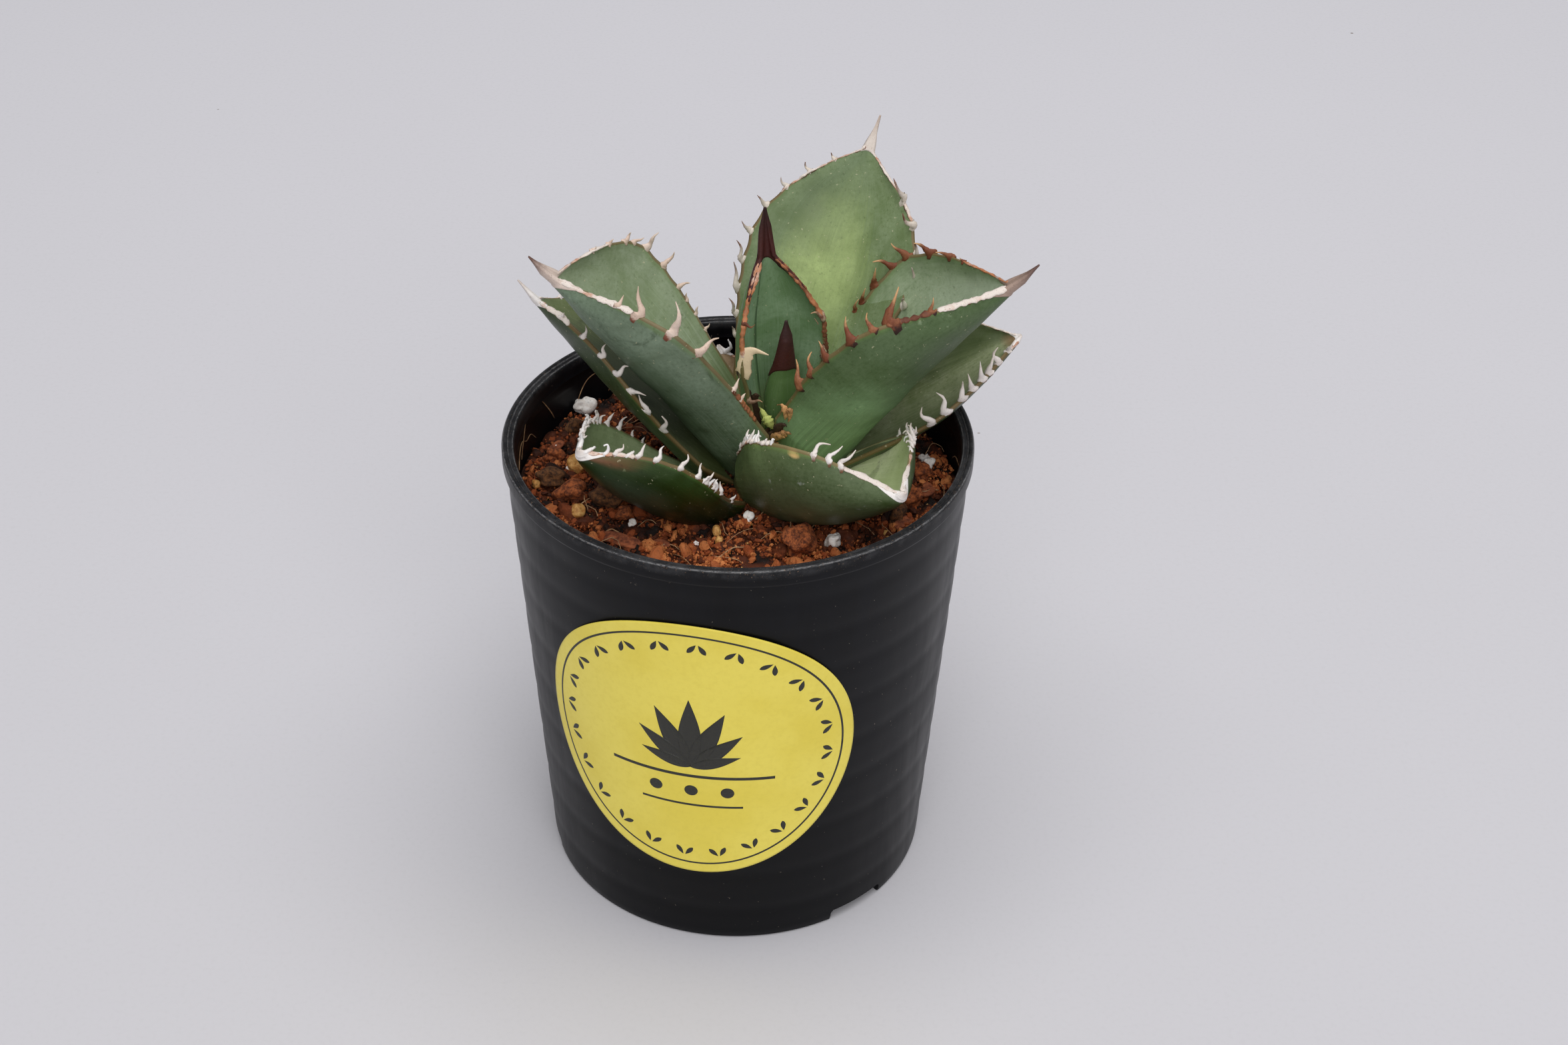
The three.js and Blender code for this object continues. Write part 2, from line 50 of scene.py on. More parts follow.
# ---- Driving values ----
POT = {
    "height": 95.3, "foot_radius": 38.3, "shoulder_radius": 44.4, "shoulder": 91.5,
    "rim_radius": 45.0, "wall": 1.2, "lip_width": 2.4, "floor_lift": 2.4, "floor_thick": 1.6,
    "notches": 3, "notch_height": 2.6, "notch_width": 13.0, "notch_turn": -50.5,
    "drains": 6, "drain_radius": 4.0, "drain_ring": 24.0, "drain_turn": 15.0,
    "ripples": (8, 18, 28.5, 39, 49, 59.5, 69, 78.5, 87), "ripple_depth": 0.13,
}
LABEL = {"radius": 31.6, "thick": 0.22, "turn": -102.0, "height": 50.6, "wrap": 41.7, "lift": 0.28}
SOIL = {"level": 84.0, "mound": 1.6, "lump": 0.7, "radius": 42.3}
CROWN = {"x": 7.0, "y": 5.5, "top": 90.5, "bottom": 68.0, "radius": 10.0, "clear": 8.5}

# A leaf, at t 0 at its base and 1 at the end of its spine: base point; heading and how far it
# turns; rise at base and tip and how it eases between them; length and half-width; where it is
# widest; tip fullness; neck; gutter half-angle and roll at base and tip; thickness at the base;
# spine length and half-width, its tone and how far it runs down the margins. Its teeth are
# (t, size, swing, lift) on the left and right margins; papery lists the left ones that are thin
# and pale. Strips are horny margins (sign, from t, to t, radius, paleness, beading). Frills are
# rows of curled lobes (sign, from t, to t, count, size). Glows are patches of another tint
# (face, t, u, radius in t and in u, strength, tint). The sign, and u, is 1 on the left margin.
# Several glows are painted light and shade, marked where they stand: lighter patches where light falls,
# darker ones in folds and under other leaves.
LEAVES = [
    dict(name="leaf_bud", skin="young", horn="maroon", base=(8, 5, 88.5), heading=286, turn=0,
         rise=(79, 91), length=30.5, half=3.6, widest=0.59, tip=1.7, neck=0.65, gutter=(79, 60),
         roll=(-1, 0), thick=3, spine=(10, 1.75)),
    dict(name="leaf_heart", skin="young", horn="maroon", base=(6, 7.5, 88), heading=110, turn=1,
         rise=(85, 86), length=50, half=11.5, widest=0.63, tip=1.7, neck=0.55, gutter=(82, 75), roll=(9, 4),
         thick=3, spine=(10, 1.3), run=4.5, papery=(0.405,),
         left=[(0.28, 3.4, 20, 50), (0.405, 7.6, 50, 80), (0.603, 2.8, 20, 50)],
         right=[(0.3, 4.2, 30, 60), (0.407, 7.5, 75, 150), (0.561, 4.6, 35, 105)],
         strips=[(1, 0.47, 0.79, 0.46, 0.5, 0.4), (-1, 0.3, 0.79, 0.44, 0.24, 0.5)],
         # A paler patch on the lit side of the fold is painted light; the narrow dark line down the fold is
         # painted shade.
         glows=[(0, 0.45, 0.62, 0.5, 0.35, 0.85, (150, 180, 146)),
                (0, 0.45, 0.24, 0.6, 0.035, 0.75, (40, 62, 36))]),
    dict(name="leaf_back_large", skin="face", horn="ivory", base=(9, 9, 85.5), heading=65, turn=-8,
         rise=(61, 52), length=68, half=16.5, widest=0.63, tip=1.9, neck=0.7, gutter=(43, 6), roll=(4, 15),
         thick=4.5, spine=(7.5, 0.65), spine_tone=0.9,
         left=[(0.288, 2.5, 50, 45), (0.347, 3.9, 55, 30), (0.418, 5.5, 68, 35), (0.494, 4.5, 62, 35),
               (0.576, 3.2, 35, 35), (0.657, 3.2, 35, 35), (0.722, 2.6, 45, 35), (0.782, 2.4, 50, 30),
               (0.835, 1.8, 50, 30)],
         right=[(0.312, 3.6, 10, 60), (0.4, 4, 20, 70), (0.49, 4.4, 25, 80), (0.57, 4.4, 35, 90),
                (0.641, 4.4, 35, 95), (0.717, 6.2, 15, 115), (0.782, 6.8, 30, 120)],
         strips=[(1, 0.7, 0.9, 0.42, 0.8, 0.7), (-1, 0.72, 0.9, 0.46, 0.75, 0.5)],
         glows=[(0, 0.5, 0.12, 0.34, 0.6, 0.9, (170, 188, 122)),
                (0, 0.8, 0.3, 0.25, 0.6, 0.5, (86, 104, 72))]),
    dict(name="leaf_right_upper", skin="outer", horn="rust", base=(13.5, 5, 85), heading=346, turn=2,
         rise=(54, 46), length=65, half=23.5, widest=0.64, tip=1.6, neck=0.65, gutter=(97, 64),
         roll=(-12, -1), thick=4.5, spine=(8, 1.2), spine_tone=0.45,
         left=[(0.357, 4, 65, 50), (0.392, 4.2, 65, 50), (0.454, 5, 60, 45), (0.535, 4.3, -35, 40),
               (0.591, 4.1, -5, 25), (0.672, 4, -15, 35), (0.73, 3.2, -35, 40), (0.765, 1.2, 10, 40)],
         right=[(0.315, 4.9, 35, 45), (0.375, 4.1, 45, 50), (0.456, 3.5, 20, 35), (0.56, 4.5, 35, 45),
                (0.622, 3.4, 30, 45), (0.663, 7.6, 50, 80), (0.744, 3, 60, 45)],
         strips=[(-1, 0.755, 0.885, 0.62, 1, 0.35), (1, 0.76, 0.885, 0.42, 0.55, 0.6),
                 (-1, 0.655, 0.75, 0.55, 0.15, 0.8)],
         glows=[(1, 0.16, -0.35, 0.32, 0.7, 0.8, (140, 172, 128)),
                (1, 0.66, -0.2, 0.16, 0.5, 0.45, (58, 72, 42)),
                # The last glow brightens the inner face towards the tip: painted light.
                (0, 0.8, 0.35, 0.3, 0.5, 0.9, (186, 200, 172))]),
    dict(name="leaf_left_upper", skin="upper", horn="tipped", base=(2, 4.5, 86), heading=195, turn=1,
         rise=(54, 48), length=65.5, half=21, widest=0.69, tip=1.9, neck=0.6, gutter=(73, 68), roll=(3, -6),
         thick=4.5, spine=(7.5, 1.2), spine_tone=0.35,
         left=[(0.33, 1.6, 10, 40), (0.379, 2.6, 25, 50), (0.571, 4.6, -10, 30), (0.666, 6.3, 50, 50),
               (0.747, 5.9, 55, 60), (0.789, 2.4, 20, 50)],
         right=[(0.32, 1.6, 20, 20), (0.375, 1.9, 45, 30), (0.423, 1.9, 60, 35), (0.469, 2.7, -20, 50),
                (0.548, 3.6, 15, 20), (0.628, 4, 20, 25), (0.676, 2.4, -20, 40), (0.705, 2.4, 30, 30),
                (0.756, 1.5, 15, 30), (0.802, 1.3, 15, 30)],
         strips=[(1, 0.755, 0.89, 0.48, 1, 0.5), (-1, 0.755, 0.89, 0.4, 0.85, 0.5),
                 (1, 0.22, 0.385, 0.42, 0.2, 0.9)],
         glows=[(1, 0.62, 0.85, 0.25, 0.3, 0.6, (128, 144, 122)),
                (1, 0.5, 0.3, 0.3, 0.35, 0.5, (62, 78, 58))]),
    dict(name="leaf_right_lower", skin="under", horn="chalk", base=(12.5, 7.5, 85), heading=13, turn=-8,
         rise=(25, 34), length=49, half=16, widest=0.57, tip=1.9, neck=0.65, gutter=(45, 45), roll=(13, 5),
         thick=4, spine=(1.5, 0.6), spine_tone=0.1,
         left=[(0.5, 2.6, 10, 40), (0.6, 2.6, 10, 40), (0.7, 2.2, 10, 40), (0.78, 2, 10, 40),
               (0.85, 1.8, 10, 40)],
         right=[(0.46, 3.4, 0, 50), (0.542, 5.1, 0, 65), (0.618, 5.8, 10, 70), (0.698, 5.2, 35, 50),
                (0.749, 4.6, 20, 55), (0.798, 5, 30, 55), (0.83, 5, 50, 60), (0.874, 4.3, 35, 55),
                (0.925, 3.6, 60, 30)],
         strips=[(-1, 0.93, 0.975, 0.42, 0.9, 0.3), (1, 0.72, 0.975, 0.36, 0.8, 0.8)],
         # The first glow darkens the far half of the folded inner face: painted shade from the fold and
         # from leaf_right_upper above it; the second is the tan dried tip.
         glows=[(0, 0.55, 0.7, 0.7, 0.62, 0.8, (46, 60, 36)), (0, 0.98, 0, 0.07, 1, 0.8, (124, 84, 56))]),
    dict(name="leaf_left_lower", skin="under", horn="chalk", base=(0, 5.5, 84.5), heading=173, turn=4,
         rise=(38, 48), length=57, half=16, widest=0.62, tip=1.8, neck=0.75, gutter=(42, 34),
         roll=(-15, 23), thick=4, spine=(6, 0.7), spine_tone=0.8,
         left=[(0.357, 4.3, 50, 35), (0.448, 4.2, 70, 45), (0.536, 3.4, -55, 20), (0.61, 3.4, 0, 45),
               (0.679, 3.3, 40, 50), (0.752, 2.7, 45, 60), (0.83, 1.6, 30, 20)],
         right=[(0.42, 3, 30, 20), (0.5, 3, 30, 20), (0.58, 3, 30, 20), (0.66, 3, 30, 20),
                (0.74, 2.6, 30, 20), (0.82, 2, 30, 20)],
         strips=[(1, 0.8, 0.9, 0.42, 0.9, 0.3), (-1, 0.82, 0.9, 0.35, 0.8, 0.3)],
         # The glow darkens the middle of the inner face: painted shade.
         glows=[(0, 0.4, 0, 0.6, 0.7, 0.8, (38, 50, 32))]),
    dict(name="leaf_front_right", skin="front", horn="chalk", base=(4.5, 1, 83.5), heading=301, turn=22,
         rise=(3, 41), bend=0.8, length=43.5, half=22, widest=0.5, tip=3.3, neck=0.55, gutter=(69, 83),
         roll=(-21, -18), thick=5, spine=(1.5, 0.8), spine_tone=0.9,
         left=[(0.55, 1.6, 20, 20), (0.66, 2.2, 10, 20), (0.75, 2.6, 60, 25), (0.78, 3, 20, 20),
               (0.81, 2.6, -5, 35)],
         right=[(0.24, 2.2, -20, 40), (0.31, 2.4, 20, 45), (0.37, 2.6, -10, 40), (0.43, 2.4, 20, 40),
                (0.49, 2.2, 0, 40), (0.8, 4.4, 35, 95), (0.846, 4.2, 40, 80), (0.872, 4.5, 60, 65)],
         strips=[(-1, 0.875, 0.975, 0.5, 1, 0.5), (1, 0.86, 0.975, 0.42, 1, 0.8),
                 (-1, 0.1, 0.6, 0.5, 1, 0.8)], frills=[(-1, 0.14, 0.6, 11, 1.5), (1, 0.74, 0.84, 7, 1.8)],
         # The first glow is a dark valley down the fold of the inner face: painted shade.
         glows=[(0, 0.8, 0.1, 0.4, 0.28, 0.75, (92, 112, 70)),
                (1, 0.55, -0.1, 0.3, 0.6, 0.7, (112, 124, 92)),
                (1, 0.3, -0.95, 0.5, 0.3, 0.8, (104, 122, 78)),
                # A very dark patch low on the outer face: painted shade.
                (1, 0.4, 0.42, 0.7, 0.5, 0.85, (30, 40, 12)),
                (1, 0.725, -0.97, 0.03, 0.05, 1, (240, 192, 126))]),
    dict(name="leaf_front_left", skin="shaded", horn="chalk", base=(1.5, 0.5, 81.5), heading=219, turn=-4,
         rise=(3, 57), bend=0.8, length=47, half=16, widest=0.59, tip=2.9, neck=0.4, gutter=(47, 70),
         roll=(-3, 11), thick=5, spine=(1.5, 0.9), spine_tone=0.6,
         left=[(0.31, 1.6, -20, 20), (0.45, 2.4, 30, 60), (0.52, 1.8, 0, 35), (0.575, 2.4, -15, 30),
               (0.634, 2.8, 20, 50), (0.729, 2.8, 5, 35), (0.821, 3, 5, 45), (0.871, 2.7, 10, 35),
               (0.92, 2.4, -15, 30)],
         right=[(0.416, 1.2, -10, 45), (0.473, 1.4, 5, 35), (0.554, 3, -15, 45), (0.637, 2.8, -10, 40),
                (0.7, 2, -20, 40), (0.76, 1.8, -20, 40), (0.82, 1.8, -20, 40), (0.88, 1.8, -30, 40),
                (0.93, 1.6, -30, 40)],
         strips=[(1, 0.88, 0.975, 0.42, 0.85, 0.8), (-1, 0.7, 0.975, 0.34, 0.9, 0.9)],
         frills=[(1, 0.9, 0.97, 3, 2), (-1, 0.72, 0.96, 8, 2.2), (1, 0.5, 0.6, 3, 1.6)],
         glows=[(1, 0.97, 0.9, 0.14, 0.32, 0.95, (126, 76, 46)),
                (1, 0.72, 0.3, 0.2, 0.4, 0.55, (84, 100, 82)), (1, 0.7, 0.95, 0.5, 0.2, 0.5, (62, 88, 38)),
                # A very dark patch near the base of the outer face: painted shade.
                (1, 0.25, 0.3, 0.4, 1, 0.8, (18, 26, 4))]),
    dict(name="leaf_back_dry", skin="dry", horn="chalk", base=(5, 11, 84.5), heading=118, turn=0,
         rise=(22, 48), length=24, half=6, widest=0.55, tip=1.8, neck=0.7, gutter=(40, 70), roll=(0, 0),
         thick=2.5, spine=(2, 0.7), spine_tone=0.7,
         left=[(0.55, 2.6, 20, 50), (0.68, 2.4, 20, 50), (0.8, 2, 20, 50)],
         right=[(0.5, 2.6, 20, 50), (0.64, 2.4, 20, 50), (0.78, 2, 20, 50)],
         strips=[(1, 0.5, 0.9, 0.3, 0.7, 0.5), (-1, 0.5, 0.9, 0.3, 0.7, 0.5)],
         frills=[(1, 0.3, 0.9, 6, 2.4), (-1, 0.3, 0.9, 6, 2.4)]),
]

# Layers of loose soil: name, count, least and greatest size, fineness of each lump, stand.
SOIL_GRAINS = (
    ("soil_fines", 19000, 0.3, 0.95, 1, 0.3),
    ("soil_crumbs", 2900, 0.8, 2.1, 2, 0.1),
    ("soil_lumps", 150, 2.2, 4.2, 3, -0.05),
)
# Larger bits: name, material, light and dark tint, roughness, grain, seed, flatness, unevenness
# and places as x, y and size.
SOIL_STONES = (
    ("soil_perlite", "perlite", (254, 250, 245), (236, 226, 217), 0.85, 1100, 501, 0.95, 0.34,
     ((-31.6, 26.6, 4.4), (-33, 5.1, 1), (1.8, -13.4, 2.6), (17.8, -20.6, 3.6), (37, 5.3, 3.2),
      (36.6, 8, 2.6), (-7.7, -20.6, 1), (-10, -23.3, 1.3), (-20, -14.1, 1.4), (36.3, -2.6, 1),
      (19.4, -13, 1.5), (22, 30, 2.6), (-12, 36, 3), (8, 38, 2), (-36, 12, 1.1))),
    ("soil_stones", "tan_stone", (226, 176, 104), (176, 112, 46), 0.65, 900, 502, 0.9, 0.22,
     ((-31.3, 4.6, 4.6), (-30.4, -10.8, 3), (-3.9, -17.9, 2.2), (-3.6, -20.4, 1.8), (22.8, -9.9, 1.2),
      (-38.8, -2, 1.8), (28, -17, 1.6), (15, 33, 2.8), (-22, 30, 2), (34, 14, 2))),
    ("soil_clods", "brown_clod", (122, 78, 42), (50, 28, 14), 0.9, 1300, 503, 0.85, 0.36,
     ((-24.6, -8, 6.2), (-35.9, -1, 5), (-16, 34, 4.6), (28, 26, 5), (-33, 18, 4), (30, -13, 4))),
    ("soil_embers", "orange_clod", (180, 98, 50), (84, 38, 18), 0.85, 1300, 505, 0.85, 0.38,
     ((35.4, 3.1, 4.4), (11.7, -21.4, 6.4), (33.5, -7.3, 5.2), (-31.4, -6.2, 5.6), (-21.3, -11.6, 3.2),
      (-28, 10, 4.4), (20, 34, 4), (-36, 8.5, 3.6), (-25, 14, 3.2))),
)

# Dried bits between the leaf bases: four corners of a bent path, radius and tone.
LITTER = (
    ((6.6, -0.8, 96.8), (5.6, -0.9, 98.6), (4.8, -0.7, 100.2), (3.9, -0.2, 101.4), 0.8, 1),
    ((5.4, 1.4, 91), (5, 0.6, 94.5), (5.3, 0, 96), (6, -0.6, 97.2), 0.8, 0.1),
    ((6.2, 0.4, 92.5), (6.2, -0.8, 95), (6.8, -1.4, 96.6), (7.8, -2.4, 97.4), 0.85, 0.08),
    ((7.4, 1.2, 91), (7.4, 0, 95), (7.4, -0.4, 97.5), (6, -0.8, 98.5), 0.9, 0.05),
    ((6.8, -1.6, 96.2), (7.6, -3.7, 99), (8.2, -4.7, 101), (9.1, -5, 100), 0.75, 0.05),
    ((7, -1.4, 95.2), (8, -3.9, 97.4), (9.2, -5.1, 99.2), (9.9, -5.4, 98.6), 0.6, 0.4),
    ((6.6, -1.2, 95), (7.4, -3.5, 97), (8, -4.5, 98.2), (8.8, -4.7, 97.2), 0.7, 0.5),
    ((4, 3.6, 94), (2.6, 3.4, 99), (1.6, 2.8, 103), (0.6, 2.4, 105.5), 0.95, 0),
    ((3.6, 3.8, 96), (3, 3, 101), (2.6, 2.4, 103.5), (4.2, 2.2, 102), 0.6, 0.1),
    ((8.9, -4.2, 101), (9, -4.8, 103.4), (8.4, -5, 105.4), (7.2, -3.8, 104), 0.5, 0.5),
    ((9.4, -4.7, 100.8), (10, -5.3, 103.6), (9.5, -5.6, 105.2), (8.7, -5, 102.8), 0.45, 0.35),
    ((6.2, 0.6, 90.5), (6.6, -0.6, 93), (6.9, -1, 94.4), (8.2, -1.4, 93.6), 0.6, 0.55),
    ((5, 0.8, 91), (4.6, -0.2, 94), (4.4, -0.4, 95.6), (5.6, -0.8, 96), 0.5, 0.3),
)


# ---- Small helpers ----
def mix(low, high, share):
    return low + (high - low) * share


def smooth(value, low=0.0, high=1.0):
    x = np.clip((np.asarray(value, float) - low) / (high - low), 0, 1)
    return x * x * (3 - 2 * x)


def unit(vectors):
    return vectors / np.maximum(np.linalg.norm(vectors, axis=-1, keepdims=True), 1e-12)


def waves(points, size, seed, count=9):
    """A smooth random field, about -1 to 1, whose lumps are about as wide as size."""
    draw = np.random.default_rng(seed)
    turns = unit(draw.normal(size=(count, 3))) * (np.pi / size) * draw.uniform(0.6, 1.5, (count, 1))
    phases = draw.uniform(0, 2 * np.pi, count)
    return np.sin(np.asarray(points) @ turns.T + phases).sum(-1) / math.sqrt(count)


def linear(red, green, blue):
    """A screen colour of 0 to 255 as linear light, with full alpha."""
    shares = [c / 255 for c in (red, green, blue)]
    return tuple(c / 12.92 if c < 0.04 else ((c + 0.055) / 1.055) ** 2.4 for c in shares) + (1.0,)


def shade(tint, factor):
    return [min(250, factor * c) for c in tint]


def circle(count):
    """Cosines and sines of even turns round a circle."""
    turns = np.arange(count) * 2 * np.pi / count
    return np.cos(turns), np.sin(turns)


def curve(corners, s):
    """A path from the first to the last of four corners, drawn towards the other two."""
    first, second, third, last = corners
    return first * (1 - s) ** 3 + 3 * s * (1 - s) * (second * (1 - s) + third * s) + last * s ** 3


def ovals(wide, thin, sides):
    """Ovals about the origin, one for each row of two half-axes."""
    cos, sin = circle(sides)
    return cos[:, None] * wide[:, None, :] + sin[:, None] * thin[:, None, :]


def add_mesh(name, points, faces, values=None, smoothed=True, mend=True):
    """A mesh object from millimetre points; values are named numbers for each point."""
    mesh = bpy.data.meshes.new(name)
    mesh.from_pydata((np.asarray(points, float) * MM).tolist(), [], faces)
    for key, numbers in (values or {}).items():
        layer = mesh.attributes.new(key, "FLOAT", "POINT")
        layer.data.foreach_set("value", np.asarray(numbers, np.float32).ravel())
    if mend:
        work = bmesh.new()
        work.from_mesh(mesh)
        bmesh.ops.recalc_face_normals(work, faces=work.faces)
        work.to_mesh(mesh)
        work.free()
    mesh.polygons.foreach_set("use_smooth", [smoothed] * len(mesh.polygons))
    mesh.update()
    made = bpy.data.objects.new(name, mesh)
    bpy.context.scene.collection.objects.link(made)
    return made


def place(made, material, slot_name, *nodes):
    """Gives a mesh its material and body, and hides the nodes it replaces, if any; the slot name is not
    used.
    """
    made.data.materials.append(material)
    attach(made, "root")
    if nodes:
        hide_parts(*nodes)


class Pile:
    """Gathers closed shells, with their named values, into one mesh."""

    def __init__(self):
        self.points, self.faces, self.values, self.size = [], [], {}, 0

    def add(self, points, faces, **values):
        points = np.asarray(points, float).reshape(-1, 3)
        self.points.append(points)
        self.faces.extend([[i + self.size for i in face] for face in faces])
        for key, numbers in values.items():
            self.values.setdefault(key, []).append(np.broadcast_to(numbers, (len(points),)))
        self.size += len(points)

    def build(self, name, **options):
        values = {key: np.concatenate(rows) for key, rows in self.values.items()}
        return add_mesh(name, np.concatenate(self.points), self.faces, values, **options)


def ring_faces(rings, count, capped=True):
    """Faces that skin rings of count points, with a flat face over each end."""
    faces = []
    for i in range(rings - 1):
        for j in range(count):
            k = (j + 1) % count
            faces.append([i * count + j, i * count + k, (i + 1) * count + k, (i + 1) * count + j])
    if capped:
        faces.append(list(range(count))[::-1])
        faces.append([(rings - 1) * count + j for j in range(count)])
    return faces


def tube(path, radii, sides=6):
    """Rings round a path of points, turned as little as possible from one to the next."""
    path = np.asarray(path, float)
    tangents = unit(np.gradient(path, axis=0))
    across = np.cross(tangents[0], (0.3, 0.2, 1.0))
    cos, sin = circle(sides)
    rings = []
    for centre, tangent, radius in zip(path, tangents, radii):
        across = across - tangent * (across @ tangent)
        across = across / np.linalg.norm(across)
        rings.append(centre + radius * (np.outer(cos, across) + np.outer(sin, np.cross(tangent, across))))
    return np.concatenate(rings), ring_faces(len(path), sides)


# ---- Shaders ----
class Shader:
    """A principled material. Most calls return a socket; start, dab and coat paint self.colour."""

    def __init__(self, name, **constants):
        self.material = bpy.data.materials.new(name)
        self.material.use_nodes = True
        self.tree = self.material.node_tree
        self.tree.nodes.clear()
        self.surface = self.tree.nodes.new("ShaderNodeBsdfPrincipled")
        self.add("OutputMaterial", {"Surface": self.surface.outputs["BSDF"]})
        self.where = self.add("TexCoord", {})["Object"]
        self.normal = None
        for key, value in constants.items():
            self.surface.inputs[key.replace("_", " ")].default_value = value

    def feed(self, socket, value):
        if isinstance(value, bpy.types.NodeSocket):
            self.tree.links.new(value, socket)
        else:
            socket.default_value = value

    def add(self, kind, inputs, **settings):
        """Adds a node, sets it up, feeds its inputs by name or number and returns its outputs."""
        node = self.tree.nodes.new("ShaderNode" + kind)
        for key, value in settings.items():
            setattr(node, key, value)
        for key, value in inputs.items():
            self.feed(node.inputs[key], value)
        return node.outputs

    def attribute(self, name):
        return self.add("Attribute", {}, attribute_name=name)["Fac"]

    def split(self):
        return self.add("SeparateXYZ", {0: self.where})

    def vector(self, x, y, z):
        return self.add("CombineXYZ", {0: x, 1: y, 2: z})[0]

    def noise(self, scale, detail=4.0, rough=0.55, where=None, warp=0.0):
        inputs = {"Vector": where or self.where, "Scale": scale, "Detail": detail}
        return self.add("TexNoise", {**inputs, "Roughness": rough, "Distortion": warp})[0]

    def cells(self, scale):
        return self.add("TexVoronoi", {"Vector": self.where, "Scale": scale})["Distance"]

    def math(self, kind, first, second=0.0):
        return self.add("Math", {0: first, 1: second}, operation=kind)[0]

    def plus(self, first, second):
        return self.math("ADD", first, second)

    def times(self, first, second):
        return self.math("MULTIPLY", first, second)

    def sway(self, value, amount):
        """A field of 0 to 1 as a shift either side of nothing."""
        return self.times(self.math("SUBTRACT", value, 0.5), amount)

    def span(self, value, low, high, start=0.0, end=1.0):
        """Goes smoothly from start to end as the value goes from low to high."""
        inputs = dict(enumerate((value, low, high, start, end)))
        return self.add("MapRange", inputs, interpolation_type="SMOOTHSTEP")[0]

    def blend(self, share, first, second):
        return self.add("Mix", {0: share, 6: first, 7: second}, data_type="RGBA")[2]

    def coat(self, tint, share):
        """Lays a tint, or a colour socket, over the colour."""
        over = tint if isinstance(tint, bpy.types.NodeSocket) else linear(*tint)
        self.colour = self.blend(share, self.colour, over)

    def dab(self, tint, value, low, high, strength=1.0):
        """Lays a tint over the colour as a field goes from low to high."""
        self.coat(tint, self.span(value, low, high, 0.0, strength))

    def start(self, first, second, *field):
        self.colour = linear(*first)
        self.dab(second, *field)

    def bump(self, height, strength, distance):
        """Adds relief to what is there; the distance is in millimetres."""
        under = {"Normal": self.normal} if self.normal else {}
        inputs = {"Strength": strength, "Distance": distance * MM, "Height": height, **under}
        self.normal = self.add("Bump", inputs)[0]

    def finish(self, roughness):
        self.feed(self.surface.inputs["Base Color"], self.colour)
        self.feed(self.surface.inputs["Roughness"], roughness)
        self.feed(self.surface.inputs["Normal"], self.normal)
        return self.material


def simple_material(name, dark, light, noise, low, high, rough, relief, **constants):
    """Two tints of one noise, with its relief."""
    make = Shader(name, **constants)
    grain = make.noise(*noise)
    make.start(dark, light, grain, low, high)
    make.bump(grain, *relief)
    return make.finish(rough)


SKINS = {
    # Colours: inner face and its bloom, outer face and its bloom, halo at the margin, root.
    # Then how much of the bloom shows on the inner and the outer face, and the stains.
    # Apart from young and dry, these skins are copies of one leaf colour made lighter and darker for where
    # each leaf sits: the bright inner face of front is painted light, the dark outer faces of shaded and
    # under are painted shade.
    "face": ((92, 112, 64), (130, 146, 110), (70, 90, 54), (110, 126, 96), (86, 108, 54), (140, 144, 76),
             0.85, 0.6, 0),
    "outer": ((118, 138, 98), (168, 182, 152), (62, 84, 42), (96, 116, 80), (92, 120, 56), (120, 134, 84),
              0.8, 0.75, 0.2),
    "upper": ((126, 142, 104), (166, 178, 152), (70, 90, 60), (124, 142, 120), (104, 126, 74),
              (120, 134, 84), 0.8, 0.85, 0.7),
    "under": ((104, 118, 70), (164, 170, 138), (44, 60, 26), (80, 96, 60), (90, 110, 54), (100, 112, 60),
              0.7, 0.45, 0.35),
    "front": ((200, 214, 158), (244, 250, 214), (58, 76, 34), (106, 120, 86), (110, 132, 70),
              (112, 122, 66), 0.8, 0.7, 0.3),
    "shaded": ((120, 138, 94), (156, 170, 130), (32, 48, 12), (56, 72, 38), (70, 100, 40), (90, 104, 50),
               0.8, 0.45, 0.1),
    "young": ((98, 128, 84), (142, 166, 134), (84, 112, 62), (120, 144, 106), (92, 120, 64),
              (178, 186, 104), 0.75, 0.6, 0),
    "dry": ((150, 118, 80), (190, 170, 140), (140, 108, 74), (176, 150, 120), (120, 84, 52), (110, 80, 50),
            0.5, 0.5, 0.5),
}


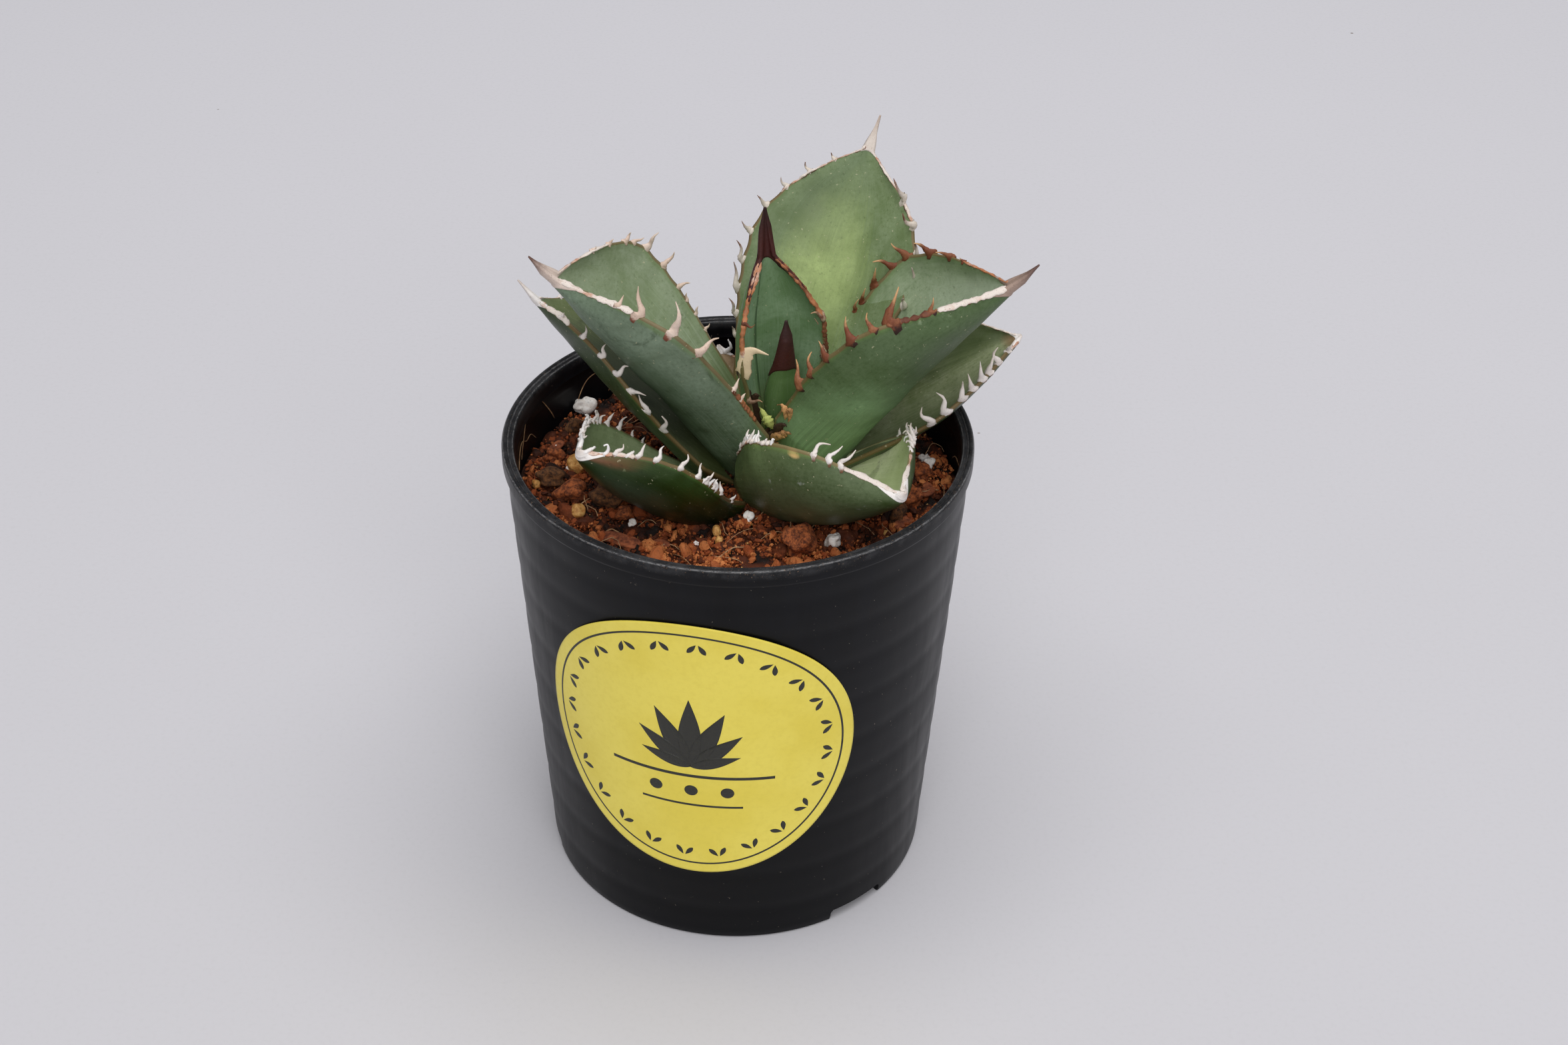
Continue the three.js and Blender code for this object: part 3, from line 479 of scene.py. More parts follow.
def leaf_material(leaf):
    inner, inner_bloom, outer, outer_bloom, halo, root, inner_share, outer_share, stained = SKINS[leaf.skin]
    make = Shader("skin_" + leaf.name, IOR=1.4)
    along, across, face = [make.attribute("leaf_" + key) for key in ("t", "u", "face")]
    edge = make.math("ABSOLUTE", across)
    apart = make.times(face, 7.0)
    broad = make.vector(make.times(across, 34.0), make.times(along, 2.2), apart)
    narrow = make.vector(make.times(across, 120.0), make.times(along, 5.0), apart)
    streaks = make.noise(1.0, 6.0, 0.68, broad)
    lines = make.noise(1.0, 4.0, 0.6, narrow)
    cloud = make.noise(75.0, 5.0, 0.6)
    flecks = make.noise(1300.0, 5.0, 0.75)
    base = make.blend(face, linear(*inner), linear(*outer))
    bloom = make.blend(face, linear(*inner_bloom), linear(*outer_bloom))
    # Glows are patches of another tint; several of them are painted light and shade.
    for side, t, u, radius_t, radius_u, strength, tint in leaf.glows:
        off_t = make.math("DIVIDE", make.math("SUBTRACT", along, t), radius_t)
        off_u = make.math("DIVIDE", make.math("SUBTRACT", across, u), radius_u)
        gap = make.plus(make.times(off_t, off_t), make.times(off_u, off_u))
        gap = make.plus(make.plus(gap, make.sway(cloud, 1.2)), make.sway(streaks, 1.0))
        near, far = (0.1, 0.9) if side else (0.9, 0.1)
        glow = make.times(make.span(gap, 1.3, 0.0, 0.0, strength), make.span(face, near, far))
        base = make.blend(make.times(glow, 0.8), base, linear(*shade(tint, 0.9)))
        bloom = make.blend(glow, bloom, linear(*shade(tint, 1.08)))
    share = make.plus(make.times(face, outer_share - inner_share), inner_share)
    patch = make.span(make.noise(48.0, 8.0, 0.68, warp=0.7), 0.34, 0.64)
    veil = make.times(make.times(patch, share), make.span(flecks, 0.3, 0.65, 0.45, 1.0))
    make.colour = make.blend(veil, base, bloom)
    fading = make.span(along, 0.8, 0.15, 0.2, 1.0)
    make.coat(bloom, make.times(make.span(streaks, 0.46, 0.68, 0.0, 0.6), fading))
    make.coat(bloom, make.times(make.span(lines, 0.5, 0.68, 0.0, 0.5), make.span(along, 0.75, 0.2)))
    make.dab(base, streaks, 0.44, 0.3, 0.45)
    overlay_mask = make.span(make.noise(60.0, 5.0, 0.6, warp=1.6), 0.58, 0.66, 0.0, stained)
    make.coat(shade(outer, 0.8), make.times(overlay_mask, make.span(cloud, 0.42, 0.58)))
    dust = make.span(make.noise(420.0, 4.0, 0.6), 0.64, 0.74, 0.0, 0.22)
    make.coat(shade(inner_bloom, 1.25), make.times(dust, patch))
    make.coat(root, make.times(make.span(along, 0.3, 0.02, 0.0, 0.8), make.span(face, 0.9, 0.1)))
    make.dab(halo, make.plus(edge, make.sway(cloud, 0.14)), 0.95, 1.0, 0.55)
    make.dab((124, 84, 58), edge, 0.985, 0.998, 0.6)
    make.dab(shade(outer, 0.62), flecks, 0.42, 0.25, 0.5)
    make.dab((206, 198, 164), make.noise(1400.0, 2.0), 0.69, 0.75, 0.5)
    make.bump(streaks, 0.3, 0.12)
    make.bump(flecks, 0.35, 0.1)
    make.bump(make.noise(230.0, 3.0), 0.25, 0.2)
    return make.finish(make.span(patch, 0.0, 1.0, 0.36, 0.54))


HORNS = {
    # Tooth colours at the foot, middle and point and where pale; then the foot and the point
    # of the spine.
    "ivory": ((140, 92, 64), (216, 204, 190), (120, 80, 60), (232, 224, 216), (218, 206, 196),
              (176, 156, 142)),
    "chalk": ((136, 98, 70), (232, 222, 216), (222, 208, 198), (242, 238, 236), (238, 232, 228),
              (214, 200, 190)),
    "tipped": ((134, 78, 56), (218, 192, 174), (206, 182, 160), (234, 220, 210), (214, 196, 184),
               (104, 70, 58)),
    "rust": ((50, 22, 13), (118, 62, 36), (204, 160, 112), (190, 132, 90), (170, 146, 132), (92, 62, 56)),
    "maroon": ((56, 28, 18), (100, 54, 38), (150, 100, 66), (226, 202, 168), (66, 20, 16), (42, 16, 14)),
}


def horn_material(kind):
    """Teeth, crusts and spines; horn_part is 0 on teeth, 1 on crusts and 2 on spines."""
    foot, middle, point, pale, spine, spine_point = HORNS[kind]
    make = Shader("horn_" + kind, IOR=1.48)
    along, tone, part = [make.attribute("horn_" + key) for key in ("s", "tone", "part")]
    grain = make.noise(900.0, 5.0, 0.68)
    fine = make.noise(2600.0, 4.0, 0.7)
    shifted = make.plus(along, make.sway(grain, 0.5))
    paled = make.plus(tone, make.sway(grain, 0.7))
    make.start(spine, spine_point, shifted, 0.2, 1.0)
    make.dab(spine_point, fine, 0.58, 0.7, 0.4)
    needle = make.colour
    make.start((96, 50, 30), (184, 118, 76), paled, 0.0, 0.5)
    make.dab((230, 218, 208), paled, 0.5, 0.95)
    make.dab((120, 62, 38), shifted, 0.42, 0.16)
    make.dab((128, 74, 48), fine, 0.6, 0.68, 0.75)
    crust = make.colour
    make.start(foot, middle, shifted, -0.24, -0.04)
    make.dab(point, shifted, 0.55, 0.95)
    make.coat(pale, make.times(make.span(paled, 0.3, 0.9), make.span(along, -0.22, -0.02)))
    make.dab(crust, part, 0.4, 0.6)
    make.dab(needle, part, 1.4, 1.6)
    make.dab(foot, fine, 0.44, 0.3, 0.4)
    make.bump(grain, 0.5, 0.2)
    make.bump(fine, 0.5, 0.08)
    return make.finish(make.span(grain, 0.3, 0.7, 0.5, 0.78))


# ---- Leaves ----
class Leaf:
    """A gutter along a bent line; t is 0 at its base and 1 at the end of its spine."""

    STEPS = 80

    bend = 1
    left = right = strips = glows = frills = papery = ()
    run = 1.3
    spine_tone = 0.0

    def __init__(self, values):
        self.__dict__.update(values)
        self.end = 1 - self.spine[0] / self.length
        middles = (np.arange(self.STEPS) + 0.5) / self.STEPS
        paces = self.direction(middles) * self.length / self.STEPS
        self.line = np.vstack([[0, 0, 0], np.cumsum(paces, axis=0)]) + np.array(self.base, float)

    def direction(self, t):
        heading = np.radians(self.heading + self.turn * t)
        rise = np.radians(mix(*self.rise, np.maximum(t, 0) ** self.bend))
        return np.stack([np.cos(rise) * np.cos(heading), np.cos(rise) * np.sin(heading), np.sin(rise)], -1)

    def middle(self, t):
        marks = np.linspace(0, 1, self.STEPS + 1)
        return np.stack([np.interp(t, marks, row) for row in self.line.T], -1)

    def frame(self, t):
        along = self.direction(t)
        heading = np.radians(self.heading + self.turn * t)
        flat = np.stack([-np.sin(heading), np.cos(heading), 0 * heading], -1)
        roll = np.radians(mix(*self.roll, t))[..., None]
        side = flat * np.cos(roll) + np.cross(along, flat) * np.sin(roll)
        return along, side, np.cross(along, side)

    def gutter_at(self, t):
        return np.maximum(np.radians(mix(*self.gutter, t)), 0.02)

    def half_at(self, t):
        q = np.clip(t / self.end, 0, 1)
        rising = mix(self.neck, 1, smooth(q, 0, self.widest)) * mix(0.6, 1, np.clip(q / 0.16, 0, 1))
        y = np.clip((q - self.widest) / (1 - self.widest), 0, 1)
        falling = mix(self.half, self.spine[1], y ** self.tip)
        blade = np.where(q < self.widest, self.half * rising, falling)
        left = np.clip((1 - t) / (1 - self.end), 0, 1)
        return np.where(t > self.end, self.spine[1] * left ** 1.3 + 0.07, blade)

    def thickness_at(self, t):
        """Thickness in the middle and at the margins."""
        q = np.clip(t / self.end, 0, 1)
        body = np.where(t < self.end, self.thick * (1 - 0.72 * q ** 1.2), 0)
        middle = np.maximum(body, np.minimum(1.1, 1.7 * self.half_at(t)))
        return middle, np.minimum(0.8, middle)

    def teats(self, t, sign):
        """How far the margin swells under each tooth and draws in between them."""
        out = np.full_like(t, -0.12)
        for place_t, size, _, _ in (self.left if sign > 0 else self.right):
            away = (t - place_t) * self.length
            out = out + 0.12 * size * np.exp(-(away / (0.35 * size + 0.5)) ** 2)
        return out * smooth(t, 0.15, 0.3) * smooth(t, self.end, self.end - 0.06)

    def relief(self, t, u, face):
        """Faint waves of the skin, in millimetres along the outward normal."""
        plane = np.stack([t * self.length, u * self.half, 0 * t + 40.0 * face], -1)
        height = 0.16 * waves(plane, 9.0, 7 + len(self.name)) + 0.05 * waves(plane, 3.0, 11)
        calm = smooth(t, 0.02, 0.12) * smooth(t, self.end, self.end - 0.12) * smooth(np.abs(u), 1.0, 0.85)
        return height * calm

    def point(self, t, u, depth, swell=0.0, detailed=False):
        """A point of the leaf; u is 1 at the left margin, depth 0 on the inner face."""
        _, side, face = self.frame(t)
        gutter = self.gutter_at(t)
        half = self.half_at(t) + swell
        middle, margin = self.thickness_at(t)
        off = mix(-swell, mix(margin, middle, 1 - u * u) + swell, depth)
        if detailed:
            half = half + np.where(u >= 0, self.teats(t, 1), self.teats(t, -1)) * np.abs(u) ** 5
            off = off + self.relief(t, u, 0.0) * np.where(depth < 0.5, -1.0, 0.0)
            off = off + self.relief(t, u, 1.0) * np.where(depth > 0.5, 1.0, 0.0)
        radius = half / gutter
        across = (radius + off) * np.sin(u * gutter)
        up = radius - (radius + off) * np.cos(u * gutter)
        return self.middle(t) + side * across[..., None] + face * up[..., None]

    def margin_frame(self, t, sign):
        """Along, out and normal directions at a margin; sign is 1 on the left."""
        along, side, face = self.frame(t)
        sign = np.asarray(sign, float)[..., None]
        angle = sign * self.gutter_at(t)[..., None]
        out = sign * (side * np.cos(angle) + face * np.sin(angle))
        return along, out, face * np.cos(angle) - side * np.sin(angle)

    def margin_place(self, t, sign):
        """A point in the middle of a margin, and its three directions."""
        t = np.asarray(t, float)
        return self.point(t, 0 * t + sign, 0 * t + 0.5, 0.0, True), *self.margin_frame(t, sign)


def blade_rings(leaf, stations, columns, last):
    """Rings that run over the inner face, round one margin, back over the outer face."""
    even = np.linspace(0, 1, columns + 1)
    over = mix(1 - 2 * even, np.cos(np.pi * even), 0.35)
    stops = []
    for row, depth in ((over, 0.0), (over[::-1], 1.0)):
        stops += [(u, depth, 0.0) for u in row]
        stops += [(row[-1], abs(depth - share), share) for share in (0.2, 0.5, 0.8)]
    ts = np.repeat(np.linspace(0, last, stations)[:, None], len(stops), axis=1)
    us, depths, rounds = [np.broadcast_to(row, ts.shape) for row in np.array(stops).T]
    points = leaf.point(ts, us, depths, 0.0, True)
    bulge = 0.5 * leaf.thickness_at(ts)[1] * np.sin(np.pi * rounds)
    return points + leaf.margin_frame(ts, np.sign(us))[1] * bulge[..., None], ts, us, depths


def add_leaf_blade(leaf, material, slot_name):
    stations, columns = max(40, int(leaf.length * 2.2)), 34
    under_spine = leaf.end + 0.04 * (1 - leaf.end)
    points, ts, us, faces = blade_rings(leaf, stations, columns, under_spine)
    values = {"leaf_t": ts.ravel(), "leaf_u": us.ravel(), "leaf_face": faces.ravel()}
    skin = ring_faces(stations, points.shape[1])
    made = add_mesh(leaf.name + "_blade", points.reshape(-1, 3), skin, values)
    place(made, material, slot_name, leaf.name)


TOOTH_MARKS = (-0.3, -0.15, 0.0, 0.05, 0.11, 0.19, 0.28, 0.38, 0.49, 0.6, 0.71, 0.82, 0.92, 1.0)
TOOTH_WIDTHS = {
    "cone": (0.5, 0.98, 1.2, 1.1, 0.9, 0.72, 0.58, 0.48, 0.4, 0.32, 0.24, 0.16, 0.09, 0.03),
    "claw": (0.45, 0.95, 1.18, 1.12, 0.94, 0.76, 0.64, 0.56, 0.48, 0.4, 0.31, 0.21, 0.12, 0.04),
    "papery": (0.4, 0.8, 1.0, 1.05, 1.08, 1.1, 1.12, 1.1, 1.0, 0.8, 0.6, 0.4, 0.22, 0.05),
}
# How fast a tooth widens with its size, its least half-width, its outline and its curl.
TOOTH_KINDS = {
    "chalk": (0.12, 0.42, "claw", 0.17), "tipped": (0.13, 0.4, "claw", 0.15),
    "rust": (0.19, 0.34, "cone", 0.1), "maroon": (0.14, 0.3, "cone", 0.16),
    "ivory": (0.12, 0.42, "claw", 0.15), "papery": (0.09, 0.6, "papery", 0.1),
}


def add_tooth(pile, leaf, draw, t, sign, size, swing, lift, tone):
    """A hooked tooth: flared where it leaves the margin, then bent and curled to a point."""
    marks = np.array(TOOTH_MARKS)
    papery = sign > 0 and t in leaf.papery
    growth, least, outline, curl = TOOTH_KINDS["papery" if papery else leaf.horn]
    root, along, out, normal = leaf.margin_place(t, sign)
    swing, lift = math.radians(swing), math.radians(lift)
    goal = math.cos(swing) * (out * math.cos(lift) + normal * math.sin(lift)) + along * math.sin(swing)
    bend = 0.5 * math.cos(swing) * math.cos(lift / 2)
    bow = np.maximum(0, marks)
    reach = size * np.where(marks > 0, bend * (2 * bow - bow ** 2), 0.9 * marks)
    centres = root + np.outer(reach, out * 0.97 + normal * 0.25)
    centres = centres + np.outer(size * ((1 - bend) * bow ** 2 + 0.06 * bow), goal)
    if papery:
        corner = root + along * ((centres[-1] - root) @ along) * 1.15 + normal * 0.8
        bent = curve((root, corner, corner, centres[-1]), bow[:, None])
        centres = np.where(marks[:, None] > 0, bent, centres)
    chord = unit(centres[-1] - root)
    across = unit(np.cross(chord, normal if abs(chord @ normal) < 0.8 else along))
    turn = draw.uniform(0, 2 * math.pi)
    wave = size * curl * draw.uniform(0.5, 1.1) * np.sin(2.1 * np.pi * bow ** 0.9) * bow ** 0.7
    centres = centres + np.outer(wave, across * math.cos(turn) + np.cross(chord, across) * math.sin(turn))
    tangents = unit(np.gradient(centres, axis=0))
    wide_axis = unit(along - tangents * (tangents @ along)[:, None])
    if papery:
        wide_axis = unit(np.cross(tangents, (0, -1, 0.2)))
    noise = 1 + 0.1 * draw.normal(size=len(marks))
    widths = (growth * size + least) * np.array(TOOTH_WIDTHS[outline]) * noise
    thins = np.minimum(0.6 * widths + 0.08, 0.22 if papery else 0.5) * np.where(marks < 0, 0.6, 1.0)
    sides = 9
    shape = ovals(widths[:, None] * wide_axis, thins[:, None] * np.cross(tangents, wide_axis), sides)
    rings = centres[:, None, :] + shape
    rings = rings + 0.05 * draw.normal(size=rings.shape) * np.minimum(widths, 0.8)[:, None, None]
    pile.add(rings, ring_faces(len(marks), sides), horn_s=np.repeat(marks, sides),
             horn_tone=1.0 if papery else tone, horn_part=0)


def add_strip(pile, leaf, draw, sign, first, last, radius, tone, beading):
    """A horny crust along part of a margin: beaded, uneven in width, blunt at its ends."""
    count, sides = max(16, int((last - first) * leaf.length * 3.5)), 10
    t = np.linspace(first, last, count)
    centres, _, out, normal = leaf.margin_place(t, sign)
    line = np.stack([t * leaf.length, 0 * t, 0 * t], -1)
    wander = waves(line, 2.2, int(draw.integers(1e6)))
    drift = t * leaf.length + 0.8 * waves(line, 4.0, int(draw.integers(1e6)))
    beads = np.abs(np.sin(np.pi * drift / 1.5)) - 0.6
    even = np.linspace(0, 1, count)
    taper = np.minimum(smooth(even, -0.03, 0.06), smooth(1 - even, -0.2, 0.1))
    size = (radius * (1 + 0.22 * wander + beading * beads) * np.maximum(taper, 0.15))[:, None]
    centres = centres + out * (0.2 * leaf.thickness_at(t)[1])[:, None] + normal * (0.15 * wander)[:, None]
    rough = 1 + 0.12 * draw.normal(size=(count, sides, 1))
    rings = centres[:, None, :] + ovals(0.8 * size * out, 1.2 * size * normal, sides) * rough
    shares = np.tile(0.5 + 0.5 * circle(sides)[0], count)
    tones = np.repeat(np.clip(tone + 0.2 * wander, 0, 1), sides)
    pile.add(rings, ring_faces(count, sides), horn_s=shares, horn_tone=tones, horn_part=1)


def add_frill(pile, leaf, draw, sign, first, last, count, size):
    """A row of fat curled lobes that stand on a margin."""
    sides = 8
    for t in np.linspace(first, last, count) + draw.normal(0, 0.15 * (last - first) / count, count):
        root, along, out, normal = leaf.margin_place(t, sign)
        tall = size * draw.uniform(0.6, 1.25)
        lean = along * draw.choice([-1, 1]) + normal * draw.uniform(0.2, 0.9)
        s = np.linspace(0, 1, 14)
        sweep = draw.uniform(1.3, 3.0) * s ** 1.2
        rise = tall * (0.66 * np.sin(sweep) + 0.22 * s)
        reach = 0.4 * tall * (1 - np.cos(sweep))
        path = root + np.outer(rise - 0.3 * (s < 0.02), out) + np.outer(reach, lean)
        path = path + np.outer(0.14 * tall * np.sin(7 * s + tall * 9) * s, along)
        radii = 0.5 * (tall / 2.2) ** 0.5 * (1 - 0.86 * s ** 0.9) * draw.uniform(0.85, 1.15) + 0.03
        points, faces = tube(path, radii, sides)
        points = points + 0.04 * draw.normal(size=points.shape)
        shares = np.repeat(0.06 + s, sides).clip(0, 1)
        pile.add(points, faces, horn_s=shares, horn_tone=draw.uniform(0.4, 1.0), horn_part=0)


def add_spine(pile, leaf, tone):
    """The terminal spine: it clasps the end of the blade and runs down both margins."""
    stations, columns = 40, 16
    width = leaf.spine[1] / leaf.length
    over = np.cos(np.pi * np.linspace(0, 1, columns + 1))
    loop_u = np.concatenate([over, [-1.0], over[::-1], [1.0]])
    loop_depth = np.concatenate([0 * over, [0.5], 0 * over + 1, [0.5]])
    starts = leaf.end - width * (0.25 + leaf.run * np.abs(loop_u) ** 4)
    ts = mix(starts[None, :], 0.995, np.linspace(0, 1, stations)[:, None] ** 0.9)
    us = np.broadcast_to(loop_u, ts.shape)
    points = leaf.point(ts, us, np.broadcast_to(loop_depth, ts.shape), 0.07)
    for column in (columns + 1, len(loop_u) - 1):
        t = ts[:, column]
        bulge = 0.62 * leaf.thickness_at(t)[1] * smooth(t, leaf.end + 0.09, leaf.end)
        points[:, column] += leaf.margin_frame(t, loop_u[column])[1] * bulge[:, None]
    shares = np.clip((ts - leaf.end) / (1 - leaf.end), 0, 1) * 0.9 + 0.05
    pile.add(points, ring_faces(stations, len(loop_u)), horn_s=shares.ravel(), horn_tone=tone, horn_part=2)


def add_horn(leaf, index, material, slot_name):
    draw = np.random.default_rng(400 + index)
    pile = Pile()
    add_spine(pile, leaf, leaf.spine_tone)
    for strip in leaf.strips:
        add_strip(pile, leaf, draw, *strip)
    for frill in leaf.frills:
        add_frill(pile, leaf, draw, *frill)
    for sign, teeth in ((1, leaf.left), (-1, leaf.right)):
        for t, size, swing, lift in teeth:
            add_tooth(pile, leaf, draw, t, sign, size, swing, lift, draw.uniform(0.0, 0.55))
    place(pile.build(leaf.name + "_horn"), material, slot_name, leaf.name)


def add_leaves():
    horns = {kind: horn_material(kind) for kind in HORNS}
    slots = {"young": "leaf_young", "dry": "leaf_dry"}
    for index, values in enumerate(LEAVES):
        leaf = Leaf(values)
        slot_name = slots.get(leaf.skin, "leaf")
        add_leaf_blade(leaf, leaf_material(leaf), slot_name)
        add_horn(leaf, index, horns[leaf.horn], slot_name)


# ---- Pot ----
def pot_outer(z):
    return mix(POT["foot_radius"], POT["shoulder_radius"], z / POT["shoulder"])


def arc(centre, radius, first, last, steps):
    angles = np.radians(np.linspace(first, last, steps))
    return [(centre[0] + radius * math.cos(a), centre[1] + radius * math.sin(a)) for a in angles]


def pot_profile():
    """Half outline of the pot, from the middle of its underside round to its inner floor."""
    top, foot, rim = POT["height"], POT["foot_radius"], POT["rim_radius"]
    lift, shoulder = POT["floor_lift"], POT["shoulder"]
    floor = lift + POT["floor_thick"]
    inner = rim - POT["lip_width"]
    outline = [(0, 0), (5.6, 0), (6, 0.3), (6.4, lift), (foot - 3.1, lift), (foot - 2.6, 0.5)]
    outline += [(foot - 2.2, 0.1), (foot - 1.2, 0), (foot - 0.55, 0.05), (foot - 0.15, 0.3)]
    for z in np.arange(1.2, shoulder - 0.3, 0.9):
        swell = sum(math.exp(-((z - mark) / 1.6) ** 2) for mark in POT["ripples"])
        outline.append((pot_outer(z) + 0.01 - POT["ripple_depth"] * swell, z))
    outline += [(POT["shoulder_radius"], shoulder), (rim - 0.25, shoulder + 0.2)]
    outline += arc((rim - 0.4, shoulder + 0.75), 0.4, -60, 0, 4)
    outline += arc((rim - 0.75, top - 0.75), 0.75, 0, 100, 8)
    lip = ((1.15, 0.28), (1.35, 0.5), (1.6, 0.42), (1.95, 0.38))
    outline += [(rim - inward, top - down) for inward, down in lip]
    brow = ((-0.2, 0.55), (0, 1), (0.05, 3), (0.35, 3.8))
    outline += [(inner - inward, top - down) for inward, down in brow]
    wall = [(90.6, 0.12), (90, 0.12), (89.2, -0.1), (88.6, 0), (88, 0), (80, 0), (60, 0), (40, 0), (20, 0),
            (floor + 1, 0), (floor, -0.8)]
    outline += [(pot_outer(z) - POT["wall"] + step, z) for z, step in wall]
    return outline + [(0, floor)]


def turned(name, outline, segments, wobble):
    """A closed body turned round Z from an outline that starts and ends on the axis."""
    outline = np.array(outline, float)
    cos, sin = circle(segments)
    rings = [np.stack([r * cos, r * sin, 0 * cos + z], -1) for r, z in outline[1:-1]]
    points = np.concatenate(rings + [[[0, 0, outline[0][1]]], [[0, 0, outline[-1][1]]]])
    points = points + unit(points * (1, 1, 0)) * (wobble * (waves(points, 26.0, 5) - 1.6))[:, None]
    faces = ring_faces(len(rings), segments, capped=False)
    bottom, top = len(points) - 2, len(points) - 1
    last = (len(rings) - 1) * segments
    for j in range(segments):
        k = (j + 1) % segments
        faces += [[bottom, k, j], [top, last + j, last + k]]
    return add_mesh(name, points, faces)


def cut_away(made, cutters):
    for cutter in cutters:
        tool = made.modifiers.new("cut", "BOOLEAN")
        tool.operation = "DIFFERENCE"
        tool.solver = "EXACT"
        tool.object = cutter
    bpy.context.view_layer.update()
    graph = bpy.context.evaluated_depsgraph_get()
    mesh = bpy.data.meshes.new_from_object(made.evaluated_get(graph))
    made.modifiers.clear()
    made.data = mesh
    for cutter in cutters:
        bpy.data.objects.remove(cutter)


def pot_cutters():
    """Boxes for the foot notches and rods for the drain holes, as two-ended prisms."""
    cutters = []
    half, top, reach = POT["notch_width"] / 2, POT["notch_height"], 4.5
    outline = [(-half, -1), (half, -1), (half, top - 0.6), (half - 0.6, top), (0.6 - half, top),
               (-half, top - 0.6)]
    for i in range(POT["notches"]):
        turn = math.radians(POT["notch_turn"] + 360 / POT["notches"] * i)
        out = np.array([math.cos(turn), math.sin(turn), 0])
        side = np.array([-math.sin(turn), math.cos(turn), 0])
        corners = [out * (POT["foot_radius"] + step) + side * across + (0, 0, z)
                   for step in (-reach, reach) for across, z in outline]
        cutters.append(add_mesh(f"notch_{i}", corners, ring_faces(2, len(outline))))
    sides, depth = 40, 7
    cos, sin = circle(sides)
    for i in range(POT["drains"]):
        turn = math.radians(POT["drain_turn"] + 360 / POT["drains"] * i)
        middle = POT["drain_ring"] * np.array([math.cos(turn), math.sin(turn), 0])
        ring = middle + POT["drain_radius"] * np.stack([cos, sin, 0 * cos], -1)
        corners = np.concatenate([ring - (0, 0, 2), ring + (0, 0, depth)])
        cutters.append(add_mesh(f"drain_{i}", corners, ring_faces(2, sides)))
    return cutters


def pot_material():
    make = Shader("black_plastic", IOR=1.45, Specular_IOR_Level=0.2)
    x, y, height = make.split()
    radius = make.math("SQRT", make.plus(make.times(x, x), make.times(y, y)))
    smear = make.noise(120.0, 5.0, 0.65, make.vector(x, y, make.times(height, 0.15)), 0.4)
    scuffs = make.noise(900.0, 4.0, 0.7, make.vector(x, y, make.times(height, 6.0)), 1.5)
    grime = make.noise(260.0, 6.0, 0.7)
    rim = make.span(height, 93.0 * MM, 94.4 * MM)
    make.start((9, 9, 12), (18, 19, 24), smear, 0.35, 0.7, 0.6)
    # Darker towards the bottom of the pot: painted shade.
    make.dab((3, 3, 5), height, 70 * MM, 5 * MM, 0.8)
    make.coat((86, 86, 88), make.times(rim, make.span(grime, 0.4, 0.66, 0.06, 0.32)))
    # Pale lines round the rim at the edges of the lip, broken up by the scuff noise: painted highlights
    # where the edges catch the light.
    for line, strength in ((44.72, 0.75), (43.75, 0.6), (42.85, 0.7)):
        away = make.math("ABSOLUTE", make.math("SUBTRACT", radius, line * MM))
        overlay_mask = make.times(make.span(away, 0.17 * MM, 0.03 * MM, 0.0, strength), rim)
        make.coat((132, 131, 132), make.times(overlay_mask, make.span(scuffs, 0.4, 0.6, 0.1, 1.0)))
    crumbs = make.span(make.noise(2600.0, 3.0, 0.7), 0.62, 0.7, 0.0, 0.65)
    make.coat((128, 104, 84), make.times(rim, crumbs))
    scratch = make.times(make.span(scuffs, 0.7, 0.78), make.span(grime, 0.5, 0.64, 0.0, 0.35))
    make.coat((96, 95, 96), scratch)
    make.dab((140, 130, 116), make.noise(1700.0, 2.0), 0.735, 0.77, 0.6)
    make.bump(grime, 0.1, 0.1)
    make.bump(make.noise(3200.0, 2.0), 0.15, 0.02)
    return make.finish(make.span(smear, 0.3, 0.7, 0.32, 0.44))


def add_pot():
    made = turned("pot_shell", pot_profile(), 288, 0.04)
    cut_away(made, pot_cutters())
    made.data.polygons.foreach_set("use_smooth", [True] * len(made.data.polygons))
    made.data.set_sharp_from_angle(angle=math.radians(40))
    place(made, pot_material(), "pot", "pot")


# ---- Label ----
def on_wall(across, up, lift):
    """A point over the pot's wall, by distances from the label's middle."""
    z = LABEL["height"] + np.asarray(up, float)
    turn = math.radians(LABEL["turn"]) + np.asarray(across, float) / LABEL["wrap"]
    radius = pot_outer(z) + lift
    return np.stack([radius * np.cos(turn), radius * np.sin(turn), z + 0 * turn], -1)


def label_material():
    make = Shader("yellow_paper", IOR=1.5)
    fibres = make.noise(900.0, 5.0, 0.65)
    make.start((240, 219, 80), (247, 228, 96), make.noise(60.0, 3.0), 0.35, 0.65)
    make.dab((226, 204, 70), fibres, 0.4, 0.75, 0.3)
    make.bump(make.noise(70.0, 3.0), 0.25, 0.3)
    make.bump(fibres, 0.12, 0.03)
    return make.finish(make.span(fibres, 0.3, 0.7, 0.3, 0.42))


def ink_material():
    make = Shader("dark_ink", IOR=1.5)
    wear = make.noise(2400.0, 4.0, 0.7)
    make.start((30, 30, 26), (44, 43, 34), wear, 0.3, 0.7)
    make.dab((150, 146, 70), wear, 0.7, 0.74, 0.5)
    make.bump(wear, 0.2, 0.01)
    return make.finish(make.span(wear, 0.3, 0.7, 0.35, 0.5))


def print_ribbon(pile, left, right):
    """Ink between two lines of points over the label, as a thin closed ribbon."""
    low, high = LABEL["lift"] + LABEL["thick"] - 0.03, LABEL["lift"] + LABEL["thick"] + 0.025
    columns = [mix(left, right, share).T for share in (0, 0.25, 0.5, 0.75, 1)]
    loops = [on_wall(*line, high) for line in columns] + [on_wall(*line, low) for line in columns[::-1]]
    pile.add(np.stack(loops, axis=1), ring_faces(len(left), len(loops)))


